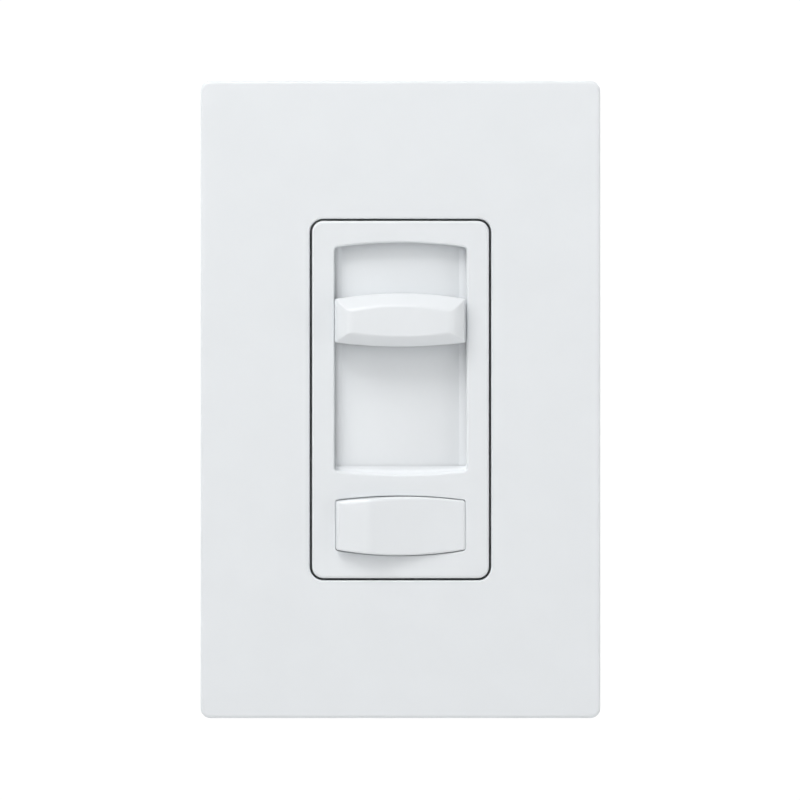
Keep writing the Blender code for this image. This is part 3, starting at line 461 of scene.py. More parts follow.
def rods(*ends_and_radii, steps=40):
    """One mesh of separate round bars, each given as its start, its end and its radii there."""
    bm = bmesh.new()
    for start, end, *radii in ends_and_radii:
        axis = Vector(end) - Vector(start)
        turn = axis.to_track_quat("Z", "Y").to_matrix().to_4x4()
        middle = Matrix.Translation((Vector(start) + Vector(end)) / 2)
        bmesh.ops.create_cone(
            bm,
            cap_ends=True,
            segments=steps,
            radius1=radii[0],
            radius2=radii[-1],
            depth=axis.length,
            matrix=middle @ turn,
        )
    return to_mesh(bm, "rods")


def prism(outline, front, back):
    """A straight-sided block with an outline."""
    bm = bmesh.new()
    rings = [add_ring(bm, outline, front), add_ring(bm, outline, back)]
    skin(bm, rings)
    bm.faces.new(rings[0])
    bm.faces.new(rings[1])
    return to_mesh(bm, "prism")


def carve(mesh, steps):
    """Work through (operation, mesh) steps of Boolean joins and cuts on a mesh."""
    body = bpy.data.objects.new("body", mesh)
    bpy.context.scene.collection.objects.link(body)
    tools = []
    for operation, tool_mesh in steps:
        tool = bpy.data.objects.new("tool", tool_mesh)
        bpy.context.scene.collection.objects.link(tool)
        tools.append(tool)
        modifier = body.modifiers.new("carve", "BOOLEAN")
        modifier.operation = operation
        modifier.solver = "EXACT"
        modifier.object = tool
    bpy.context.view_layer.update()
    seen = body.evaluated_get(bpy.context.evaluated_depsgraph_get())
    made = bpy.data.meshes.new_from_object(seen)
    for item in [body, *tools]:
        bpy.data.objects.remove(item, do_unlink=True)
    shade(made)
    return made


# ---------------------------------------------------------------- pieces

def add_piece(mesh, node, finish):
    """Show a mesh in place of the CAD node whose body it rides on."""
    name = f"{node}_surface"
    mesh.name = name
    mesh.materials.clear()
    mesh.materials.append(finish)
    piece = bpy.data.objects.new(name, mesh)
    bpy.context.scene.collection.objects.link(piece)
    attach(piece, NODES[node]["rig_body"])
    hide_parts(node)
    return piece


def make_cover_plate():
    """The snap-on cover: a shell with a softly rounded rim and a crisp window."""
    width = PLATE_HIGH.x - PLATE_LOW.x
    height = PLATE_HIGH.z - PLATE_LOW.z
    front = PLATE_LOW.y
    inside = front + PLATE_WALL
    outer = rounded_rect(width, height, PLATE_CORNER)
    inner = rounded_rect(width - 2 * PLATE_WALL, height - 2 * PLATE_WALL, INNER_CORNER)
    rim = edge_rings(outer, front, PLATE_EDGE, steps=10)
    rim += [(-PLATE_LIP, outer), (0.0, offset(outer, -PLATE_LIP)), (0.0, offset(inner, PLATE_LIP))]
    rim += [(-PLATE_LIP, inner), (inside, inner)]
    hole = rounded_rect(*OPENING, OPENING_CORNER)
    opening = edge_rings(hole, front, OPENING_EDGE, outward=-1)
    opening.append((inside, hole))
    mesh = panel(rim, opening)
    catches = []
    tip = width / 2 - PLATE_WALL - CATCH_TIP
    catch_front, catch_back = CATCH_BACKS
    for side in (-1, 1):
        left, right = sided(side, tip, tip + CATCH_DEEP)
        for z in (-CATCH_Z, CATCH_Z):
            low = (left, catch_front, z - CATCH_HALF)
            high = (right, catch_back, z + CATCH_HALF)
            catches.append((low, high))
    mesh = carve(mesh, [("UNION", boxes(*catches, edge=SOFT_EDGE))])
    return add_piece(mesh, "cover_plate", SATIN_WHITE)


def window_outline(grow=0.0, climb=0.0):
    """The slider window's outline. Its bowed bottom edge climbs to a straighter, higher line."""
    level, bow = WINDOW_BOTTOM
    bottom = (level + RAMP_RISE * climb, max(LEAST_BOW, bow * (1 - climb)))
    return offset(arched(WINDOW_HALF, WINDOW_TOP, bottom, WINDOW_CORNER), grow)


def ramp_depth(share):
    """Depth at a share of the turn from the window's front edge down to its floor."""
    start = BEZEL_FRONT + WINDOW_EDGE
    return start + (BEZEL_SKIN_BACK - start) * math.sin(share * math.pi / 2)


def ramp_climb(y):
    """The share of its climb that the bottom edge has made at a depth: a cove, steep in front."""
    start = BEZEL_FRONT + WINDOW_EDGE
    share = min(1.0, max(0.0, (y - start) / (BEZEL_SKIN_BACK - start)))
    return 1 - (1 - share ** RAMP_CURVE) ** (1 / RAMP_CURVE)


def with_rails(outline, side, reach):
    """The window's outline with its sides carried out to reach between the rails' ends."""
    half = len(outline) // 2
    low, high = RAIL_ENDS
    left = [(-side, high), (-reach, high), (-reach, low), (-side, low)]
    right = [(side, low), (reach, low), (reach, high), (side, high)]
    return outline[:half] + left + outline[half:] + right


def swept_half(radius, y):
    """Half width at a depth, where the ends follow a circle about the rocker's pivot."""
    return math.sqrt(radius ** 2 - (y - PIVOT.y) ** 2)


def make_bezel():
    """The dimmer's front frame: rounded rim, slider window over a ramp, and rocker opening."""
    width = BEZEL_HIGH.x - BEZEL_LOW.x
    height = BEZEL_HIGH.z - BEZEL_LOW.z
    outer = rounded_rect(width, height, BEZEL_CORNER)
    inner = rounded_rect(width - 2 * BEZEL_WALL, height - 2 * BEZEL_WALL, INNER_CORNER)
    back = span("yoke")[0].y - GAP
    rim = edge_rings(outer, BEZEL_FRONT, BEZEL_EDGE)
    rim += [(back, outer), (back, inner), (BEZEL_SKIN_BACK, inner)]

    window = []
    for inset, depth in quarter_round(WINDOW_EDGE):
        side = WINDOW_HALF + inset
        window.append((BEZEL_FRONT + depth, with_rails(window_outline(inset), side, side)))
    depths = [ramp_depth(step / RAMP_STEPS) for step in range(1, RAMP_STEPS + 1)]
    steps = [(y, WINDOW_HALF) for y in depths if y < RAIL_FRONT]
    steps += [(RAIL_FRONT, WINDOW_HALF), (RAIL_FRONT, RAIL_HALF)]
    steps += [(y, RAIL_HALF) for y in depths if y > RAIL_FRONT]
    for y, reach in steps:
        window.append((y, with_rails(window_outline(0.0, ramp_climb(y)), WINDOW_HALF, reach)))

    top = (ROCKER_TOP[0] + ROCKER_GAP, ROCKER_TOP[1])
    bottom = (ROCKER_BOTTOM[0] - ROCKER_GAP, ROCKER_BOTTOM[1])
    hole = arched(swept_half(ROCKER_SWEEP, BEZEL_FRONT), top, bottom, ROCKER_CORNER)
    opening = edge_rings(hole, BEZEL_FRONT, ROCKER_HOLE_EDGE, outward=-1)
    for step in range(1, ROCKER_HOLE_STEPS + 1):
        y = BEZEL_FRONT + (BEZEL_SKIN_BACK - BEZEL_FRONT) * step / ROCKER_HOLE_STEPS
        opening.append((y, arched(swept_half(ROCKER_SWEEP, y), top, bottom, ROCKER_CORNER)))

    mesh = panel(rim, window, opening)
    posts = []
    for x in (-BEZEL_POST[0], BEZEL_POST[0]):
        for z in (-BEZEL_POST[1], BEZEL_POST[1]):
            posts.append(((x, BEZEL_SKIN_BACK - POST_SUNK, z), (x, POST_BACK, z), POST_RADIUS))
    cradle_front = BEZEL_SKIN_BACK - CRADLE_SUNK
    cradle_back = PIVOT.y + CRADLE_DEEP
    cradles = [
        ((-CRADLE_HALF, cradle_front, low), (CRADLE_HALF, cradle_back, high))
        for low, high in CRADLES_Z
    ]
    low, high = BEARING_Z
    bearing = rods(((0.0, PIVOT.y, low), (0.0, PIVOT.y, high), BEARING_RADIUS))
    slot = boxes(((-BEARING_SLOT, PIVOT.y, low), (BEARING_SLOT, cradle_back + BEYOND, high)))
    mesh = carve(mesh, [
        ("UNION", rods(*posts)),
        ("UNION", boxes(*cradles)),
        ("DIFFERENCE", bearing),
        ("DIFFERENCE", slot),
    ])
    return add_piece(mesh, "bezel", SATIN_WHITE)


def make_floor_panel():
    """The recessed floor, with a shallow running groove near each side, on two feet."""
    low, high = span("floor_panel")
    front = low.y
    back = front + FLOOR_SKIN
    inner, outer, deep, slope = GROOVE
    right = [(inner - slope, front), (inner, front + deep), (outer, front + deep)]
    right += [(outer + slope, front), (FLOOR_HALF, front), (FLOOR_HALF, back)]
    section = [(-x, y) for x, y in reversed(right)] + right
    bm = bmesh.new()
    rows = [[bm.verts.new((x, y, z)) for x, y in section] for z in (low.z, high.z)]
    skin(bm, rows)
    bm.faces.new(rows[0])
    bm.faces.new(rows[1])
    inset, tall, sunk = FLOOR_FEET
    foot = back - sunk
    feet = boxes(
        ((low.x + inset, foot, low.z), (high.x - inset, high.y, low.z + tall)),
        ((low.x + inset, foot, high.z - tall), (high.x - inset, high.y, high.z)),
    )
    mesh = carve(to_mesh(bm, "floor"), [("UNION", feet)])
    return add_piece(mesh, "floor_panel", SATIN_WHITE)


def knob_outline(share, flare=0.0):
    """The knob's outline, drawn in by a share of its facets' widths or flared at its ends."""
    eased = share ** KNOB_END_EASE if share < 1 else 1 + KNOB_END_EASE * (share - 1)
    side = KNOB_INSETS[0] * eased
    top, bottom = [inset * share for inset in KNOB_INSETS[1:]]
    corner = KNOB_CORNER * (1 - KNOB_CORNER_EASE * min(share, 1.0))
    return arched(
        KNOB_HALF + flare - side,
        (KNOB_TOP[0] - top, KNOB_TOP[1]),
        (KNOB_BOTTOM[0] + bottom, KNOB_BOTTOM[1]),
        corner,
    )


def blend_corner(before, corner, after, steps=7):
    """Points of a soft bend from before to after, pulled towards a corner."""
    points = []
    for step in range(steps + 1):
        share = step / steps
        spot = [
            (1 - share) ** 2 * a + 2 * share * (1 - share) * b + share * share * c
            for a, b, c in zip(before, corner, after)
        ]
        points.append(tuple(spot))
    return points


def make_slider_knob():
    """The knob: a bowed bar with broad facets that meet in soft edges, and wings at its ends."""
    depth = KNOB_SHOULDER - KNOB_FRONT
    soft = KNOB_ROUND / depth
    path = blend_corner(
        (0.0, KNOB_SHOULDER + KNOB_ROUND),
        (0.0, KNOB_SHOULDER),
        (soft, KNOB_SHOULDER - soft * depth),
    )
    path += blend_corner(
        (1 - soft, KNOB_FRONT + soft * depth),
        (1.0, KNOB_FRONT),
        (1 + soft, KNOB_FRONT),
    )
    path.append((1 + KNOB_FACE_MARGIN + soft, KNOB_FRONT))
    bm = bmesh.new()
    rings = [add_ring(bm, knob_outline(0.0, KNOB_FLARE), KNOB_BACK)]
    for step in range(FLARE_STEPS + 1):
        turn = math.pi / 2 * step / FLARE_STEPS
        flare = KNOB_FLARE * (1 - math.sin(turn))
        y = FLARE_FRONT + (FLARE_TIP - FLARE_FRONT) * (1 - math.cos(turn))
        rings.append(add_ring(bm, knob_outline(0.0, flare), y))
    rings += [add_ring(bm, knob_outline(share), y) for share, y in path]
    skin(bm, rings)
    bm.faces.new(rings[0])
    columns_face(bm, rings[-1])
    body = to_mesh(bm, "knob")
    top = (KNOB_TOP[0] - KNOB_WALL, KNOB_TOP[1])
    bottom = (KNOB_BOTTOM[0] + KNOB_WALL, KNOB_BOTTOM[1])
    pocket_outline = arched(KNOB_HALF - KNOB_WALL, top, bottom, KNOB_CORNER)
    pocket = prism(pocket_outline, KNOB_SHOULDER, KNOB_BACK + BEYOND)
    low, high = KNOB_Z - WING_HALF, KNOB_Z + WING_HALF
    tab_front, tab_low, tab_high = WING_FRONT + TAB_EASE, low + TAB_EASE, high - TAB_EASE
    hole_low, hole_high = KNOB_Z - PEG_HOLE_HALF, KNOB_Z + PEG_HOLE_HALF
    hole_front, hole_back = PEG_HOLE_DEPTHS
    necks = []
    tabs = []
    holes = []
    for side in (-1, 1):
        left, right = sided(side, KNOB_HALF - NECK_SUNK, WING_TAB[1])
        necks.append(((left, WING_FRONT, low), (right, KNOB_BACK, high)))
        left, right = sided(side, *WING_TAB)
        tabs.append(((left, tab_front, tab_low), (right, TAB_BACK, tab_high)))
        left, right = sided(side, *PEG_HOLE)
        holes.append(((left, hole_front, hole_low), (right, hole_back, hole_high)))
    mesh = carve(body, [
        ("DIFFERENCE", pocket),
        ("UNION", boxes(*necks)),
        ("UNION", boxes(*tabs)),
        ("DIFFERENCE", boxes(*holes)),
    ])
    return add_piece(mesh, "slider_knob", SATIN_WHITE)


def columns_face(bm, ring, rows=8):
    """Fill a ring made of an upper edge and the matching lower edge, in columns of quads.

    The strips at the two ends have no points along the ring's own sides.
    """
    half = len(ring) // 2
    upper = ring[:half]
    lower = list(reversed(ring[half:]))
    columns = [[upper[0], lower[0]]]
    for top, bottom in zip(upper[1:-1], lower[1:-1]):
        between = [bm.verts.new(top.co.lerp(bottom.co, row / rows)) for row in range(1, rows)]
        columns.append([top, *between, bottom])
    columns.append([upper[-1], lower[-1]])
    for column, after in zip(columns, columns[1:]):
        if len(column) == len(after):
            for row in range(rows):
                bm.faces.new((column[row], column[row + 1], after[row + 1], after[row]))
        else:
            bm.faces.new(column + after[::-1])


def rocker_proud(x):
    """How far the rocker's face stands proud of the bezel: up to a soft ridge, then down."""
    left = RIDGE_PROUD + (RIDGE_PROUD - LEFT_PROUD) * (x - RIDGE_X) / (RIDGE_X + ROCKER_HALF)
    share = (ROCKER_HALF - x) / (ROCKER_HALF - RIDGE_X)
    right = RIGHT_PROUD + (RIDGE_PROUD - RIGHT_PROUD) * max(0.0, share) ** RIDGE_CURVE
    near = max(0.0, RIDGE_SOFT - abs(left - right)) / RIDGE_SOFT
    return min(left, right) - near * near * RIDGE_SOFT / 4


def rocker_ring(outline, inset, depth):
    """Points of the outline drawn in by inset and laid depth behind the rocker's face.

    The upper edge is rounded more broadly where the face stands prouder.
    """
    points = []
    depths = []
    least, per_proud, deepening = TOP_ROUND
    for (x, z), (_, edge_z) in zip(offset(outline, -inset), outline):
        proud = rocker_proud(x)
        deep = depth
        drop = edge_z - z
        if drop > 0:
            broad = (least + per_proud * proud) / ROCKER_EDGE - 1
            z -= drop * broad
            deep *= 1 + broad * deepening * min(1.0, drop / inset)
        y = BEZEL_FRONT - proud + deep
        points.append((x * swept_half(ROCKER_HALF, y) / ROCKER_HALF, z))
        depths.append(y)
    return points, depths


def make_rocker_paddle():
    """The rocker: a bowed bar with a soft ridge, rounded edges, pins and a stem."""
    outline = arched(ROCKER_HALF, ROCKER_TOP, ROCKER_BOTTOM, ROCKER_CORNER)
    bm = bmesh.new()
    rings = []
    for inset, depth in quarter_round(ROCKER_EDGE):
        points, depths = rocker_ring(outline, inset, depth)
        rings.append(add_ring(bm, points, depths))
    rim = [vert.co.y for vert in rings[-1]]
    for share in ROCKER_WALL_SHARES:
        depths = [y + (ROCKER_BACK - y) * share for y in rim]
        points = [(x * swept_half(ROCKER_HALF, y) / ROCKER_HALF, z) for (x, z), y in zip(outline, depths)]
        rings.append(add_ring(bm, points, depths))
    skin(bm, rings)
    columns_face(bm, rings[0])
    bm.faces.new(rings[-1])
    body = to_mesh(bm, "rocker")
    side, edge = HOLLOW_INSETS
    top = (ROCKER_TOP[0] - edge, HOLLOW_BOW)
    bottom = (ROCKER_BOTTOM[0] + edge, HOLLOW_BOW)
    hollow_outline = arched(ROCKER_HALF - side, top, bottom, HOLLOW_CORNER)
    hollow = prism(hollow_outline, HOLLOW_FRONT, ROCKER_BACK + BEYOND)
    lean = math.radians(STEM_LEAN)
    along = Vector((-math.sin(lean), math.cos(lean), 0.0))
    stem, bore = [
        rods((PIVOT + along * start, PIVOT + along * end, radius))
        for start, end, radius in (STEM, BORE)
    ]
    low = (-RIB_HALF, RIB_DEPTHS[0], ROCKER_BOTTOM[0] + RIB_INSET)
    high = (RIB_HALF, RIB_DEPTHS[1], ROCKER_TOP[0] - RIB_INSET)
    pins = [((0.0, PIVOT.y, start), (0.0, PIVOT.y, end), PIN_RADIUS) for start, end in PINS_Z]
    mesh = carve(body, [
        ("DIFFERENCE", hollow),
        ("UNION", stem),
        ("UNION", boxes((low, high))),
        ("DIFFERENCE", bore),
        ("UNION", rods(*pins)),
    ])
    return add_piece(mesh, "rocker_paddle", SATIN_WHITE)


def thread_radius(core, fall, length, turn):
    """Radius of a thread at a distance down its shank and a share of a turn about it."""
    ridge = 1 - abs(2 * ((fall / THREAD_PITCH + turn) % 1.0) - 1)
    swell = min(1.0, max(0.0, fall / THREAD_PITCH), max(0.0, (length - fall) / THREAD_PITCH))
    radius = core + THREAD_DEPTH * (min(1.0, ridge * THREAD_FLANK) * swell - THREAD_SUNK)
    taper, taper_length = TIP_TAPER
    return radius - taper * max(0.0, 1 - (length - fall) / taper_length)


def thread_mesh(core, start, length):
    """A threaded shank along -Z from start: a helical ridge that runs out at a tapered tip."""
    bm = bmesh.new()
    columns = []
    rows = int(length / THREAD_PITCH * THREAD_ROWS)
    for step in range(THREAD_SIDES):
        angle = 2 * math.pi * step / THREAD_SIDES
        column = []
        for row in range(rows + 1):
            fall = length * row / rows
            radius = thread_radius(core, fall, length, step / THREAD_SIDES)
            spot = (radius * math.cos(angle), radius * math.sin(angle), start - fall)
            column.append(bm.verts.new(spot))
        columns.append(column)
    for step, column in enumerate(columns):
        after = columns[(step + 1) % THREAD_SIDES]
        for row in range(rows):
            bm.faces.new((column[row], column[row + 1], after[row + 1], after[row]))
    bm.faces.new([column[0] for column in columns])
    bm.faces.new([column[-1] for column in columns])
    return bm


def turned(bm, profile, steps=48):
    """Add a closed round solid to a bmesh. Its profile is (radius, height), from axis to axis."""
    rings = []
    for radius, height in profile:
        if radius == 0:
            rings.append([bm.verts.new((0.0, 0.0, height))])
            continue
        turns = [2 * math.pi * step / steps for step in range(steps)]
        spots = [(radius * math.cos(turn), radius * math.sin(turn), height) for turn in turns]
        rings.append([bm.verts.new(spot) for spot in spots])
    for ring, after in zip(rings, rings[1:]):
        for index in range(steps):
            follow = (index + 1) % steps
            if len(ring) == 1:
                bm.faces.new((ring[0], after[follow], after[index]))
            elif len(after) == 1:
                bm.faces.new((ring[index], ring[follow], after[0]))
            else:
                bm.faces.new((ring[index], ring[follow], after[follow], after[index]))


def dome_profile(radius, height, steps=8):
    """A pan head's profile from its top to its seat, with a soft shoulder."""
    flat = radius * HEAD_FLAT
    points = [(0.0, height), (flat, height * HEAD_CROWN)]
    for step in range(1, steps + 1):
        angle = math.pi / 2 * step / steps
        out = flat + (radius - flat) * math.sin(angle)
        points.append((out, height * (HEAD_RIM + (HEAD_CROWN - HEAD_RIM) * math.cos(angle))))
    points += [(radius, HEAD_CHAMFER), (radius - HEAD_CHAMFER, 0.0), (0.0, 0.0)]
    return points


def make_screw(node, place, direction, size, finish, cross=False):
    """A slotted pan-head screw with a thread. Its seat is at place and its head along direction."""
    (head_radius, head_height), (core, length) = size
    bm = bmesh.new()
    turned(bm, dome_profile(head_radius, head_height))
    head = to_mesh(bm, "head")
    root = core - THREAD_DEPTH * THREAD_ROOT
    shank = to_mesh(thread_mesh(root, THREAD_START, length + THREAD_START), "thread")
    deep = head_height * SLOT_DEEP
    reach = head_radius + BEYOND
    above = head_height + BEYOND
    slot = boxes(((-reach, -SLOT_HALF, head_height - deep), (reach, SLOT_HALF, above)))
    mesh = carve(head, [("UNION", shank), ("DIFFERENCE", slot)])
    if cross:
        arm = head_radius * CROSS_REACH
        low = (-CROSS_HALF, -arm, head_height - deep * CROSS_DEEP)
        mesh = carve(mesh, [("DIFFERENCE", boxes((low, (CROSS_HALF, arm, above))))])
    turn = Vector(direction).to_track_quat("Z", "Y").to_matrix().to_4x4()
    mesh.transform(Matrix.Translation(Vector(place) * MM) @ turn)
    return add_piece(mesh, node, finish)


def make_screws():
    """Box, adapter, ground and terminal screws."""
    seat = span("yoke")[0].y - GAP
    front = (0, -1, 0)
    for name, side in (("upper", 1), ("lower", -1)):
        place = (0.0, seat, side * BOX_SCREW_Z)
        make_screw(f"mounting_screw_{name}", place, front, BOX_SCREW, ZINC, True)
        place = (0.0, span(f"adapter_screw_{name}")[0].y + PLATE_SCREW_SEAT, side * PLATE_SCREW_Z)
        make_screw(f"adapter_screw_{name}", place, front, PLATE_SCREW, ZINC)
    place = (GROUND_SCREW[0], seat, GROUND_SCREW[1])
    make_screw("ground_screw", place, front, GROUND_SIZE, GREEN_ZINC, True)
    for name, side in (("line", -1), ("load", 1)):
        place = (side * TERMINAL_SPOT[0], *TERMINAL_SPOT[1:])
        make_screw(f"{name}_screw", place, (side, 0, 0), TERMINAL_SIZE, BRASS, True)


def make_back_housing():
    """The box behind the yoke: round corners, a shallow panel on its back and terminal pockets."""
    width = HOUSING_HIGH.x - HOUSING_LOW.x
    height = HOUSING_HIGH.z - HOUSING_LOW.z
    front = HOUSING_LOW.y
    back = HOUSING_HIGH.y
    floor = back - HOUSING_WALL
    outer = rounded_rect(width, height, HOUSING_CORNER)
    inner = rounded_rect(width - 2 * HOUSING_WALL, height - 2 * HOUSING_WALL, INNER_CORNER)
    rings = []
    for inset, depth in quarter_round(HOUSING_EDGE, 6):
        rings.append((back - depth, offset(outer, -inset)))
    lip, inner_lip = HOUSING_LIP
    rings += [(front + lip, outer), (front, offset(outer, -lip)), (front, offset(inner, inner_lip))]
    rings += [(front + inner_lip, inner), (floor, inner)]
    bm = bmesh.new()
    rows = [add_ring(bm, outline, y) for y, outline in rings]
    skin(bm, rows)
    bm.faces.new(rows[0])
    bm.faces.new(rows[-1])
    body = to_mesh(bm, "housing")
    side_wall = width / 2 - HOUSING_WALL + WALL_OVERLAP
    outside = width / 2 + BEYOND
    blocks = []
    rests = []
    pockets = []
    channels = []
    slots = []
    for side in (-1, 1):
        near, (y, z), top = TERMINAL_BLOCK
        left, right = sided(side, near, side_wall)
        blocks.append(((left, y, z), (right, back - BEYOND, top)))
        near, y, thick = BOARD_REST
        left, right = sided(side, near, side_wall)
        rests += [((left, y, z), (right, back - BEYOND, z + thick)) for z in BOARD_RESTS_Z]
        near, low, high = TERMINAL_POCKET
        left, right = sided(side, near, outside)
        pockets.append(((left, *low), (right, *high)))
        near, (y, z), top = WIRE_CHANNEL
        left, right = sided(side, near, outside)
        channels.append(((left, y, z), (right, back + BEYOND, top)))
        across, low, high = STRAP_SLOT
        left, right = sided(side, *across)
        slots.append(((left, *low), (right, *high)))
    boss_back, boss_radius = BOSS
    bosses = [((x, front, z), (x, boss_back, z), boss_radius) for x, z in HOUSING_SCREWS]
    start, end, radius = BOSS_HOLE
    holes = [((x, start, z), (x, end, z), radius) for x, z in HOUSING_SCREWS]
    start, end, radius = TERMINAL_BORE
    spot = TERMINAL_SPOT[1:]
    bores = [((side * start, *spot), (side * end, *spot), radius) for side in (-1, 1)]
    label = rounded_rect(*LABEL_SIZE, LABEL_CORNER, LABEL_CENTRE)
    mesh = carve(body, [
        ("UNION", rods(*bosses)),
        ("UNION", boxes(*blocks)),
        ("UNION", boxes(*rests)),
        ("DIFFERENCE", boxes(*pockets)),
        ("DIFFERENCE", boxes(*channels)),
        ("DIFFERENCE", boxes(*slots)),
        ("DIFFERENCE", rods(*bores)),
        ("DIFFERENCE", rods(*holes)),
        ("DIFFERENCE", prism(label, back - LABEL_DEEP, back + BEYOND)),
    ])
    piece = add_piece(mesh, "back_housing", DARK_PLASTIC)
    add_soft_edges(piece, HOUSING_SOFT_EDGE)
    return piece


# ---------------------------------------------------------------- materials

def shader_tree(name):
    """A new material with its Principled shader and object coordinates."""
    made = bpy.data.materials.new(name)
    made.use_nodes = True
    tree = made.node_tree
    shader = tree.nodes["Principled BSDF"]
    coordinates = tree.nodes.new("ShaderNodeTexCoord").outputs["Object"]
    return made, tree, shader, coordinates


def stretched(tree, coordinates, scale):
    """Coordinates scaled along each axis: below 1 draws a texture out."""
    node = tree.nodes.new("ShaderNodeVectorMath")
    node.operation = "MULTIPLY"
    node.inputs[1].default_value = scale
    tree.links.new(coordinates, node.inputs[0])
    return node.outputs["Vector"]


def noise(tree, coordinates, size, detail=2.0):
    """A noise texture whose features are about size millimetres across."""
    node = tree.nodes.new("ShaderNodeTexNoise")
    node.inputs["Scale"].default_value = 1.0 / (size * MM)
    node.inputs["Detail"].default_value = detail
    tree.links.new(coordinates, node.inputs["Vector"])
    return node.outputs["Fac"]


def mapped(tree, value, source, target):
    """A value mapped from one (low, high) range onto another."""
    node = tree.nodes.new("ShaderNodeMapRange")
    for name, number in zip(("From Min", "From Max", "To Min", "To Max"), (*source, *target)):
        node.inputs[name].default_value = number
    tree.links.new(value, node.inputs["Value"])
    return node


def ranged(tree, value, low, high):
    """A 0 to 1 value mapped onto low to high, with its middle part stretched to fill them."""
    return mapped(tree, value, MIDDLE, (low, high)).outputs["Result"]


def tinted(tree, value, first, second):
    """A colour between two, by a value."""
    node = tree.nodes.new("ShaderNodeMix")
    node.data_type = "RGBA"
    node.inputs["A"].default_value = (*first, 1.0)
    node.inputs["B"].default_value = (*second, 1.0)
    tree.links.new(value, node.inputs["Factor"])
    return node.outputs["Result"]


def shaded(colour, share):
    """A colour darkened to a share of itself."""
    return [channel * share for channel in colour]


def glossed(tree, value, roughness, spread):
    """Roughness that strays about its middle by a value."""
    low, high = spread
    return ranged(tree, value, roughness * low, roughness * high)


def bumped(tree, height, depth, under=None):
    """A bump from a 0 to 1 height, depth millimetres deep."""
    node = tree.nodes.new("ShaderNodeBump")
    node.inputs["Distance"].default_value = depth * MM
    node.inputs["Strength"].default_value = 1.0
    tree.links.new(height, node.inputs["Height"])
    if under:
        tree.links.new(under, node.inputs["Normal"])
    return node.outputs["Normal"]


def dress(tree, shader, colour, roughness, normal, metallic=0.0):
    """Link a shader's colour, roughness and normal, and set how metallic it is."""
    tree.links.new(colour, shader.inputs["Base Color"])
    tree.links.new(roughness, shader.inputs["Roughness"])
    tree.links.new(normal, shader.inputs["Normal"])
    shader.inputs["Metallic"].default_value = metallic


def moulded(name, colour, roughness, grain=0.12, grain_depth=0.002, metallic=0.0):
    """Moulded or cast material: faint mottling, uneven gloss and a fine texture."""
    made, tree, shader, coordinates = shader_tree(name)
    size, shade_share = MOTTLE
    mottle = ranged(tree, noise(tree, coordinates, size), 0.0, 1.0)
    mottled = tinted(tree, mottle, shaded(colour, shade_share), colour)
    gloss = glossed(tree, noise(tree, coordinates, *GLOSS), roughness, GLOSS_SPREAD)
    size, depth = MOULD_WAVES
    waves = bumped(tree, noise(tree, coordinates, size), depth)
    fine = bumped(tree, noise(tree, coordinates, grain), grain_depth, waves)
    dress(tree, shader, mottled, gloss, fine, metallic)
    return made


def rolled(name, colour, roughness):
    """Rolled sheet metal: streaks of gloss and relief along its lay, and a cloudy colour."""
    made, tree, shader, coordinates = shader_tree(name)
    streaks = noise(tree, stretched(tree, coordinates, LAY), *STREAKS)
    clouds = noise(tree, coordinates, *CLOUDS)
    clouded = tinted(tree, ranged(tree, clouds, 0.0, 1.0), shaded(colour, CLOUD_SHADE), colour)
    gloss = glossed(tree, streaks, roughness, STREAK_SPREAD)
    relief = bumped(tree, streaks, STREAK_DEPTH, bumped(tree, clouds, CLOUD_DEPTH))
    dress(tree, shader, clouded, gloss, relief, 1.0)
    return made


def wound(name, colour):
    """Enamelled wire laid in turns along Y, with painted shade darkening the grooves between the turns.
    """
    made, tree, shader, coordinates = shader_tree(name)
    node = tree.nodes.new("ShaderNodeTexWave")
    node.bands_direction = "Y"
    node.inputs["Scale"].default_value = 2 * math.pi / (WAVE_TURN * WIRE * MM)
    tree.links.new(coordinates, node.inputs["Vector"])
    turns = node.outputs["Fac"]
    size, low, high = WIRE_GLOSS
    gloss = ranged(tree, noise(tree, coordinates, size), low, high)
    # Painted shade: the colour falls to a darker share of itself where the turns' bump is low, in the
    # grooves between turns
    groove_shaded = tinted(tree, turns, shaded(colour, WIRE_GROOVE_SHADE), colour)
    dress(tree, shader, groove_shaded, gloss, bumped(tree, turns, WIRE / 2), WIRE_METAL)
    return made


def banded(name, body, start, length, bands):
    """Lacquer with painted bands across X: bands are (share of the length, colour)."""
    made, tree, shader, coordinates = shader_tree(name)
    parts = tree.nodes.new("ShaderNodeSeparateXYZ")
    tree.links.new(coordinates, parts.inputs[0])
    along = mapped(tree, parts.outputs["X"], (start * MM, (start + length) * MM), (0.0, 1.0))
    ramp = tree.nodes.new("ShaderNodeValToRGB")
    ramp.color_ramp.interpolation = "CONSTANT"
    ramp.color_ramp.elements[0].color = (*body, 1.0)
    ramp.color_ramp.elements[1].position = BAND_LAST
    ramp.color_ramp.elements[1].color = (*body, 1.0)
    for share, colour in bands:
        ramp.color_ramp.elements.new(share).color = (*colour, 1.0)
        ramp.color_ramp.elements.new(share + BAND_WIDTH).color = (*body, 1.0)
    tree.links.new(along.outputs["Result"], ramp.inputs["Fac"])
    size, low, high = LACQUER_GLOSS
    gloss = ranged(tree, noise(tree, coordinates, size), low, high)
    size, depth = LACQUER_WAVES
    waves = bumped(tree, noise(tree, coordinates, size), depth)
    dress(tree, shader, ramp.outputs["Color"], gloss, waves)
    return made


def flecked(name, colour, fleck, roughness):
    """Pressed fibre: flecks in a matt body."""
    made, tree, shader, coordinates = shader_tree(name)
    flecks = ranged(tree, noise(tree, stretched(tree, coordinates, FLECK_DRAW), *FLECKS), 0.0, 1.0)
    gloss = glossed(tree, noise(tree, coordinates, FLECK_GLOSS), roughness, GLOSS_SPREAD)
    relief = bumped(tree, flecks, FLECK_DEPTH)
    dress(tree, shader, tinted(tree, flecks, fleck, colour), gloss, relief)
    return made


